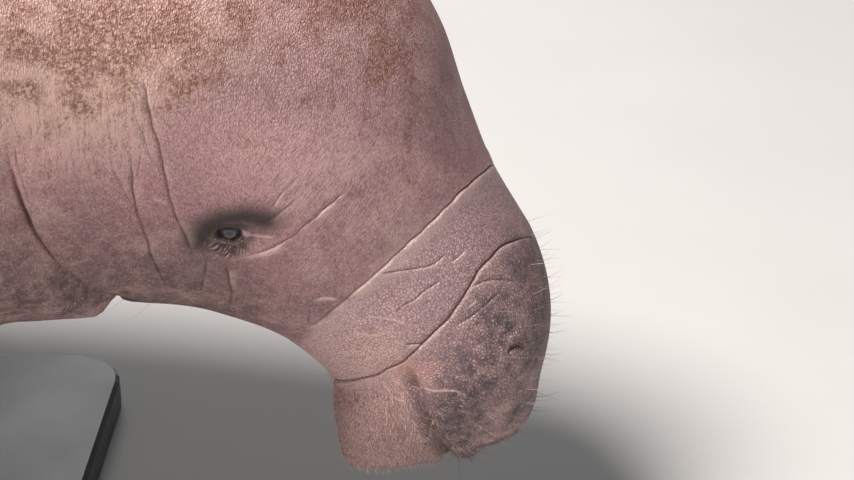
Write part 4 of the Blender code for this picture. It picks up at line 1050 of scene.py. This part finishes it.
# The colours over the base, from the broad tones to the lines
colour = layered(tree, paint("#D19A9C"), (
    (tone["broad"], 0.36, 0.62, None, 0.80, "#92737B"),
    # crown: painted light from above over a warmer tone
    (mark["crown_light_and_tone"], 0.0, 1.0, None, 0.95, "#FAD0BE"),
    # brow: painted highlight
    (mark["brow_highlight"], 0.0, 1.0, None, 0.62, "#F2BDBB"),
    # underside: painted shade
    (mark["under"], 0.0, 1.0, None, 0.92, "#51433B"),
    (mark["muzzle"], 0.0, 1.0, None, 0.85, "#EDC5CB"),
    # low on the muzzle: painted highlight
    (mark["low_muzzle_highlight"], 0.0, 1.0, None, 0.92, "#FFD5C6"),
    # front of the muzzle: painted shade over its greyer tone
    (mark["front"], 0.0, 1.0, None, 0.98, "#42383B"),
    (mark["chin"], 0.0, 1.0, None, 0.50, "#E4B4A2"),
    (tone["blotch"], 0.48, 0.66, None, 0.50, "#E4BEB6"),
    (tone["mottle"], 0.42, 0.64, None, 0.38, "#DFB8B4"),
    # Painted shade in the grain's grooves and painted highlights on its tops.
    (height, 0.60, 0.12, None, 0.62, "#53404A"),
    (height, 0.62, 0.95, None, 0.42, "#EDCAC6"),
    (tone["speckle"], 0.58, 0.70, None, 0.45, "#EFD6D0"),
    (mark["body"], 0.0, 1.0, None, 0.66, "#75675F"),
    (tone["mottle"], 0.35, 0.60, algae, 0.42, "#B37A63"),
    (tone["specks"], 0.43, 0.56, algae, 0.72, "#764A37"),
    (mark["bare_corner"], 0.0, 1.0, None, 0.40, "#D09A8C"),
    # painted shade of the eye's hollow
    (mark["socket"], 0.0, 1.0, None, 0.94, "#2D2623"),
    # pale: painted highlights on rims and wrinkles, and pale scars
    (tone["mottle"], 0.20, 0.50, mark["rim"], 0.80, "#EFD0C8"),
    # painted shade in the creases, the nostrils and the mouth
    (mark["crease"], 0.0, 1.0, None, 0.66, "#43302F"),
))
relief = add_node(tree, "ShaderNodeBump", {"Height": height, "Distance": GRAIN_HEIGHT,
                                           "Strength": 0.9}).outputs["Normal"]
sheen = add_node(tree, "ShaderNodeMapRange", {"Value": tone["mottle"], "From Min": 0.3,
                                              "From Max": 0.7, "To Min": 0.50,
                                              "To Max": 0.68}).outputs["Result"]
feed(tree, shader, {"Base Color": colour, "Normal": relief, "Roughness": sheen})
hide.data.materials.append(hide_finish)

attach(hide, "root")
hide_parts("head", "lower_jaw", "neck", "chest", "belly", "tail_stock", "tail_paddle",
            "flipper_left", "flipper_right")

# Eyes
# A manatee's eye is a small, dark ball with a bluish bloom and no white showing. On the model it
# is a glossy resin ball set behind the lids.

PUPIL, IRIS = 0.0026, 0.0060             # radii on the ball's face
CORNEA_RISE = 0.0008


def eyeball(name, side):
    """A fine ball with the cornea's low dome, its pole facing out; side is -1 right, 1 left."""
    centre, normal, _, _ = EYE_FRAME
    middle = centre - normal * EYE_DEPTH
    bm = bmesh.new()
    bmesh.ops.create_uvsphere(bm, u_segments=48, v_segments=32, radius=EYE_RADIUS)
    place = bm.verts.layers.float.new("from_pole")
    for v in bm.verts:
        off = math.hypot(v.co.x, v.co.y)
        v[place] = off / EYE_RADIUS if v.co.z > 0 else 1.0
        if v.co.z > 0:
            v.co *= 1 + CORNEA_RISE / EYE_RADIUS * float(1 - rise(off, 0.7 * IRIS, 1.1 * IRIS))
    facing = Vector((normal[0], -side * normal[1], normal[2]))
    turn = facing.to_track_quat("Z", "Y").to_matrix().to_4x4()
    shift = Matrix.Translation((middle[0], -side * middle[1], middle[2]))
    bmesh.ops.transform(bm, matrix=shift @ turn, verts=bm.verts)
    mesh = bpy.data.meshes.new(name)
    bm.to_mesh(mesh)
    bm.free()
    mesh.shade_smooth()
    return linked(name, mesh)


eye_finish, tree, shader, coordinate = new_finish("cast_resin_eye", 0.24)
from_pole = add_node(tree, "ShaderNodeAttribute", attribute_name="from_pole").outputs["Fac"]
cloud = add_node(tree, "ShaderNodeTexNoise", {"Vector": coordinate, "Scale": 1 / 0.0022,
                                              "Detail": 3.0}).outputs["Fac"]
colour = layered(tree, paint("#0A0C11"), (
    (from_pole, PUPIL / EYE_RADIUS - 0.08, PUPIL / EYE_RADIUS + 0.10, None, 1.0, "#46424C"),
    (from_pole, IRIS / EYE_RADIUS - 0.08, IRIS / EYE_RADIUS + 0.12, None, 1.0, "#3B373B"),
    (cloud, 0.40, 0.65, None, 0.30, "#4F5260"),
))
feed(tree, shader, {"Base Color": colour, "Coat Weight": 0.3, "Coat Roughness": 0.15})
for word, side in (("right", -1), ("left", 1)):
    eye = eyeball("eyeball_" + word, side)
    eye.data.materials.append(eye_finish)
    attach(eye, "root")
    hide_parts("eye_" + word)

# Nails
# A Florida manatee has three or four small, flat nails on the edge of each flipper. They are
# plates of horn, a little arched, with fine ridges along them, set into the skin.

NAILS = 4
NAIL_SIZE = (0.0100, 0.0074, 0.0034)     # half length, half width, height
NAIL_SPREAD = 0.088
NAIL_ROW, NAIL_ROW_CURVE = 0.955, 0.34   # in flipper lengths from the root
NAIL_STEPS = 18
NAIL_RIDGES, NAIL_RIDGE_HEIGHT = 7, 0.04
NAIL_SINK = 0.0006                       # how deep the plate lies in the skin
# The plate's height in its middle, how much it rises to the free end, how far its rim is sunk,
# all in nail heights, and how much broader its free end is
NAIL_MIDDLE, NAIL_LIFT, NAIL_RIM, NAIL_FLARE = 0.75, 0.25, 0.9, 0.14
LEAST_LIFT = 0.05                        # keeps the outer nails off the flipper's very edge


def nail_points(side, number):
    """The grid of one nail's plate, from its middle out to its sunk rim."""
    _, aim, chord, face = flipper_frame(side)
    spread = (number - (NAILS - 1) / 2) / (NAILS - 1)
    across = spread * NAIL_SPREAD
    middle, wide, thick = flipper_section(
        side, FLIPPER_LENGTH * (NAIL_ROW - NAIL_ROW_CURVE * spread ** 2))
    lift = thick * math.sqrt(max(1 - (across / wide) ** 2, LEAST_LIFT))
    middle = middle + chord * across + face * (lift - NAIL_SINK)
    turns = np.linspace(0, 2 * math.pi, 2 * NAIL_STEPS, endpoint=False)
    radius = np.linspace(0, 1, NAIL_STEPS)[1:, None]
    along, sideways = radius * np.cos(turns), radius * np.sin(turns)
    # The free end is broader and stands up; the root runs into the skin.
    dome = (1 - radius ** 4) * (NAIL_MIDDLE + NAIL_LIFT * along) - NAIL_RIM * radius ** 8
    dome = dome + NAIL_RIDGE_HEIGHT * np.cos(2 * math.pi * NAIL_RIDGES * sideways) * (1 - radius)
    grid = [np.array([[0, 0, NAIL_MIDDLE]])]
    for a, s, d in zip(along, sideways * (1 + NAIL_FLARE * along), dome):
        grid.append(np.stack([a, s, d], -1))
    size = np.array(NAIL_SIZE)
    return [middle + (row * size) @ np.array([aim, chord, face]) for row in grid]


nail_finish, tree, shader, coordinate = new_finish("satin_horn", 0.38)
streak = add_node(tree, "ShaderNodeTexNoise", {"Vector": coordinate, "Scale": 1 / 0.0035,
                                               "Detail": 4.0}).outputs["Fac"]
colour = layered(tree, paint("#8C7A68"), ((streak, 0.35, 0.65, None, 1.0, "#C4B49C"),))
feed(tree, shader, {"Base Color": colour})
for word, side in (("right", -1), ("left", 1)):
    bm = bmesh.new()
    for number in range(NAILS):
        rows = [[bm.verts.new(p) for p in row] for row in nail_points(side, number)]
        for i in range(len(rows[1])):
            j = (i + 1) % len(rows[1])
            bm.faces.new((rows[0][0], rows[1][i], rows[1][j]))
            for row, outer in zip(rows[1:], rows[2:]):
                bm.faces.new((row[i], outer[i], outer[j], row[j]))
        bm.faces.new(rows[-1][::-1])
    mesh = meshed("nails_" + word, bm)
    mesh.shade_smooth()
    mesh.materials.append(nail_finish)
    nails = linked("nails_" + word, mesh)
    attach(nails, "root")

# Bristles and hairs
# The chin carries a dense brush of short bristles and the lips stiff ones; fine whiskers stand on
# the muzzle and single hairs on the body. On the model they are nylon, set one by one.

COATS = {
    # mark, hairs a square metre, least spacing, length, root radius, lean, seed
    "chin_bristles": ("chin", 52000, 0.0024, 0.0060, 0.00050, 0.52, 3),
    "lip_bristles": ("lips", 24000, 0.0030, 0.0065, 0.00048, 0.36, 5),
    "muzzle_whiskers": ("whiskers", 3600, 0.0075, 0.0190, 0.00022, 0.28, 7),
    "body_hairs": ("body_hairs", 420, 0.0200, 0.0200, 0.00013, 0.60, 11),
}
COAT_INPUTS = (("Mark", "String"), ("Density", "Float"), ("Spacing", "Float"), ("Length", "Float"),
               ("Root Radius", "Float"), ("Lean", "Float"), ("Seed", "Int"))
HAIR_SIDES, HAIR_STEPS = 3, 4
HAIR_TIP = 0.25              # radius of the tip, in root radii
HAIR_STRAY = 0.35            # how much each hair strays from the way that hairs lie
SHORTEST, LONGEST = 0.55, 1.25           # in hair lengths
HAIR_BEND = 0.28             # how far the tip is bent over, in hair lengths
HAIR_SINK = 0.04             # how deep the root stands in the skin, in hair lengths
TUFT = 0.003                 # width of a hair's patch on the unwrap


def coat_tree(finish):
    """Sets bent hairs over the marked skin; its inputs are named as in COATS."""
    tree = bpy.data.node_groups.new("set_hairs", "GeometryNodeTree")
    tree.interface.new_socket("Geometry", in_out="INPUT", socket_type="NodeSocketGeometry")
    for name, kind in COAT_INPUTS:
        tree.interface.new_socket(name, in_out="INPUT", socket_type="NodeSocket" + kind)
    tree.interface.new_socket("Geometry", in_out="OUTPUT", socket_type="NodeSocketGeometry")
    given = add_node(tree, "NodeGroupInput").outputs
    held = add_node(tree, "GeometryNodeInputNamedAttribute", {"Name": given["Mark"]},
                    data_type="FLOAT").outputs["Attribute"]
    roots = add_node(tree, "GeometryNodeDistributePointsOnFaces", {
        "Mesh": given["Geometry"], "Distance Min": given["Spacing"],
        "Density Max": given["Density"], "Density Factor": held, "Seed": given["Seed"]},
        distribute_method="POISSON").outputs
    stored_on = {name: add_node(tree, "GeometryNodeInputNamedAttribute", {"Name": name},
                                data_type="FLOAT_VECTOR").outputs["Attribute"]
                 for name in ("lie", "unwrap", "root", "on_hair")}
    stray = add_node(tree, "FunctionNodeRandomValue", {
        "Min": (-HAIR_STRAY,) * 3, "Max": (HAIR_STRAY,) * 3, "Seed": given["Seed"]},
        data_type="FLOAT_VECTOR").outputs["Value"]
    tangled = add_node(tree, "ShaderNodeVectorMath", {0: stored_on["lie"], 1: stray},
                       operation="ADD").outputs["Vector"]
    leant = add_node(tree, "ShaderNodeMix", {0: given["Lean"], 4: roots["Normal"], 5: tangled},
                     data_type="VECTOR").outputs[1]
    upright = add_node(tree, "FunctionNodeAlignRotationToVector", {"Vector": leant},
                       axis="Z").outputs["Rotation"]
    turned = add_node(tree, "FunctionNodeAlignRotationToVector", {
        "Rotation": upright, "Vector": tangled}, axis="X", pivot_axis="Z").outputs["Rotation"]
    hair = add_node(tree, "GeometryNodeMeshCone", {
        "Vertices": HAIR_SIDES, "Side Segments": HAIR_STEPS, "Radius Top": HAIR_TIP,
        "Radius Bottom": 1.0, "Depth": 1.0}, fill_type="NGON").outputs
    spot = add_node(tree, "GeometryNodeInputPosition").outputs["Position"]
    parts = add_node(tree, "ShaderNodeSeparateXYZ", {"Vector": spot}).outputs
    squared = add_node(tree, "ShaderNodeMath", {0: parts["Z"], 1: parts["Z"]},
                       operation="MULTIPLY").outputs[0]
    stored = add_node(tree, "GeometryNodeStoreNamedAttribute", {
        "Geometry": hair["Mesh"], "Name": "along", "Value": parts["Z"]},
        data_type="FLOAT", domain="POINT").outputs["Geometry"]
    stored = add_node(tree, "GeometryNodeStoreNamedAttribute", {
        "Geometry": stored, "Name": "on_hair", "Value": hair["UV Map"]},
        data_type="FLOAT_VECTOR", domain="CORNER").outputs["Geometry"]
    # The cone is a unit wide and high; it is made slim here and bent as it is set.
    girth = add_node(tree, "ShaderNodeMath", {0: given["Root Radius"], 1: given["Length"]},
                     operation="DIVIDE").outputs[0]
    slim_x, slim_y = (add_node(tree, "ShaderNodeMath", {0: parts[way], 1: girth},
                               operation="MULTIPLY").outputs[0] for way in "XY")
    bent = add_node(tree, "ShaderNodeMath", {0: squared, 1: HAIR_BEND, 2: slim_x},
                    operation="MULTIPLY_ADD").outputs[0]
    sunk = add_node(tree, "ShaderNodeMath", {0: parts["Z"], 1: HAIR_SINK},
                    operation="SUBTRACT").outputs[0]
    shaped = add_node(tree, "ShaderNodeCombineXYZ", {"X": bent, "Y": slim_y,
                                                     "Z": sunk}).outputs["Vector"]
    prototype = add_node(tree, "GeometryNodeSetPosition", {
        "Geometry": stored, "Position": shaped}).outputs["Geometry"]
    least, most = (add_node(tree, "ShaderNodeMath", {0: given["Length"], 1: share},
                            operation="MULTIPLY").outputs[0] for share in (SHORTEST, LONGEST))
    size = add_node(tree, "FunctionNodeRandomValue", {2: least, 3: most, "Seed": given["Seed"]},
                    data_type="FLOAT").outputs[1]
    placed = add_node(tree, "GeometryNodeStoreNamedAttribute", {
        "Geometry": roots["Points"], "Name": "root", "Value": stored_on["unwrap"]},
        data_type="FLOAT_VECTOR", domain="POINT").outputs["Geometry"]
    hairs = add_node(tree, "GeometryNodeInstanceOnPoints", {
        "Points": placed, "Instance": prototype, "Rotation": turned,
        "Scale": size}).outputs["Instances"]
    real = add_node(tree, "GeometryNodeRealizeInstances", {"Geometry": hairs}).outputs["Geometry"]
    patch = add_node(tree, "ShaderNodeVectorMath", {
        0: stored_on["on_hair"], 1: (TUFT, TUFT, 0), 2: stored_on["root"]},
        operation="MULTIPLY_ADD").outputs["Vector"]
    baked = add_node(tree, "GeometryNodeStoreNamedAttribute", {
        "Geometry": real, "Name": "OFBake", "Value": patch},
        data_type="FLOAT2", domain="CORNER").outputs["Geometry"]
    for name in ("root", "on_hair", "unwrap", "lie"):
        baked = add_node(tree, "GeometryNodeRemoveAttribute", {
            "Geometry": baked, "Name": name}).outputs["Geometry"]
    done = add_node(tree, "GeometryNodeSetMaterial", {"Geometry": baked, "Material": finish})
    add_node(tree, "NodeGroupOutput", {"Geometry": done.outputs["Geometry"]})
    return tree


hair_finish, tree, shader, coordinate = new_finish("matt_dyed_nylon", 0.55)
along, front = (add_node(tree, "ShaderNodeAttribute", attribute_name=name).outputs["Fac"]
                for name in ("along", "front"))
tint = add_node(tree, "ShaderNodeTexNoise", {"Vector": coordinate, "Scale": 1 / 0.006,
                                             "Detail": 3.0}).outputs["Fac"]
colour = layered(tree, paint("#8A7174"), (
    (along, 0.05, 0.60, None, 0.90, "#E0C3B8"),
    (tint, 0.50, 0.70, None, 0.40, "#F0E0D6"),
    # hairs on the muzzle's front take the same painted shade
    (front, 0.2, 1.0, None, 0.5, "#6E6068"),
))
feed(tree, shader, {"Base Color": colour})

hairs = coat_tree(hair_finish)
sockets = {s.name: s.identifier for s in hairs.interface.items_tree if s.in_out == "INPUT"}
for name, values in COATS.items():
    coat = linked(name, hide.data)
    setter = coat.modifiers.new("hairs", "NODES")
    setter.node_group = hairs
    for (word, _), value in zip(COAT_INPUTS, values):
        setter[sockets[word]] = value
    applied(coat)
    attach(coat, "root")
hide.data.uv_layers.remove(hide.data.uv_layers["unwrap"])
hide.data.attributes.remove(hide.data.attributes["lie"])

# Stand
# A plain museum stand: a board of black-lacquered fibreboard and two ground steel rods that
# reach into sockets in the belly. The solids' own meshes stay and take these finishes.

board_finish, tree, shader, coordinate = new_finish("satin_black_lacquer", 0.36)
# Sprayed lacquer keeps a faint orange peel, about 3 mm across, and gathers a little dust.
peel = add_node(tree, "ShaderNodeTexNoise", {"Vector": coordinate, "Scale": 1 / 0.003,
                                             "Detail": 2.0}).outputs["Fac"]
dust = add_node(tree, "ShaderNodeTexNoise", {"Vector": coordinate, "Scale": 1 / 0.14,
                                             "Detail": 4.0}).outputs["Fac"]
colour = layered(tree, paint("#2A2B2D"), ((dust, 0.45, 0.75, None, 0.5, "#3C3C3D"),))
dulled = add_node(tree, "ShaderNodeMapRange", {"Value": dust, "From Min": 0.3, "From Max": 0.8,
                                               "To Min": 0.30, "To Max": 0.46}).outputs["Result"]
relief = add_node(tree, "ShaderNodeBump", {"Height": peel, "Distance": 0.0002,
                                           "Strength": 0.35}).outputs["Normal"]
feed(tree, shader, {"Base Color": colour, "Roughness": dulled, "Normal": relief})

rod_finish, tree, shader, coordinate = new_finish("ground_stainless_steel", 0.30, 1.0)
# Grinding leaves fine rings round the rod, drawn here about 1 mm apart so that they show.
steps = add_node(tree, "ShaderNodeVectorMath", {0: coordinate, 1: (50, 50, 1000)},
                 operation="MULTIPLY").outputs["Vector"]
rings = add_node(tree, "ShaderNodeTexNoise", {"Vector": steps, "Scale": 1.0,
                                              "Detail": 3.0}).outputs["Fac"]
colour = add_node(tree, "ShaderNodeMix", {0: rings, 6: paint("#B9BABB"), 7: paint("#CFD0D1")},
                  data_type="RGBA").outputs[2]
dulled = add_node(tree, "ShaderNodeMapRange", {"Value": rings, "From Min": 0.2, "From Max": 0.8,
                                               "To Min": 0.24, "To Max": 0.40}).outputs["Result"]
relief = add_node(tree, "ShaderNodeBump", {"Height": rings, "Distance": 0.0001,
                                           "Strength": 0.3}).outputs["Normal"]
feed(tree, shader, {"Base Color": colour, "Roughness": dulled, "Normal": relief})

for node, finish in (("stand_base", board_finish), ("stand_rod_front", rod_finish),
                     ("stand_rod_rear", rod_finish)):
    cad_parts[node].data.materials.clear()
    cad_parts[node].data.materials.append(finish)

# Studio
# A pale, matt floor, one soft key from the upper left and a weak fill, as in a museum's
# photograph. The camera stands where the drawing sheet's sight lines meet.

FLOOR_SIZE = 24.0
PIXELS_WIDE = 854
SHEET_PIXEL = 0.00077        # width of one pixel on the sheet
SENSOR = 36.0

bm = bmesh.new()
bmesh.ops.create_grid(bm, x_segments=8, y_segments=8, size=FLOOR_SIZE / 2)
floor_mesh = bpy.data.meshes.new("floor")
bm.to_mesh(floor_mesh)
bm.free()
floor = linked("floor", floor_mesh)
floor_finish, tree, shader, coordinate = new_finish("matt_pale_floor", 0.85)
speck = add_node(tree, "ShaderNodeTexNoise", {"Vector": coordinate, "Scale": 1 / 0.4,
                                              "Detail": 4.0}).outputs["Fac"]
colour = add_node(tree, "ShaderNodeMix", {0: speck, 6: paint("#AEB0AE"), 7: paint("#B8B9B8")},
                  data_type="RGBA").outputs[2]
feed(tree, shader, {"Base Color": colour})
floor.data.materials.append(floor_finish)


def soft_light(name, place, aim, size, watts, tint):
    lamp = bpy.data.lights.new(name, "AREA")
    lamp.shape = "DISK"
    lamp.size = size
    lamp.energy = watts
    lamp.color = paint(tint)[:3]
    holder = linked(name, lamp)
    holder.location = place
    holder.rotation_euler = (Vector(aim) - Vector(place)).to_track_quat("-Z", "Y").to_euler()


soft_light("key", (-2.5, -2.1, 7.3), (0.50, 0, 0.45), 3.0, 1510, "#FFF5F1")
soft_light("fill", (2.8, -2.4, 0.9), (0.9, 0, 0.3), 2.2, 3, "#EEF2FF")
soft_light("back", (0.4, 3.6, 3.0), (0.2, 0, 0.4), 2.6, 70, "#FFFFFF")
world = bpy.data.worlds.new("studio")
world.use_nodes = True
world.node_tree.nodes["Background"].inputs["Color"].default_value = paint("#E8EAEE")
world.node_tree.nodes["Background"].inputs["Strength"].default_value = 0.11
bpy.context.scene.world = world
bpy.context.scene.view_settings.view_transform = "Standard"

lens = bpy.data.cameras.new("camera")
lens.sensor_width = SENSOR
lens.lens = SENSOR * SIGHT_DISTANCE / (SHEET_PIXEL * PIXELS_WIDE)
camera = linked("camera", lens)
turn = Matrix((Vector((1, 0, 0)), Vector(LIFT), -Vector(LOOK))).transposed().to_4x4()
camera.matrix_world = Matrix.Translation(SIGHT) @ turn
bpy.context.scene.camera = camera
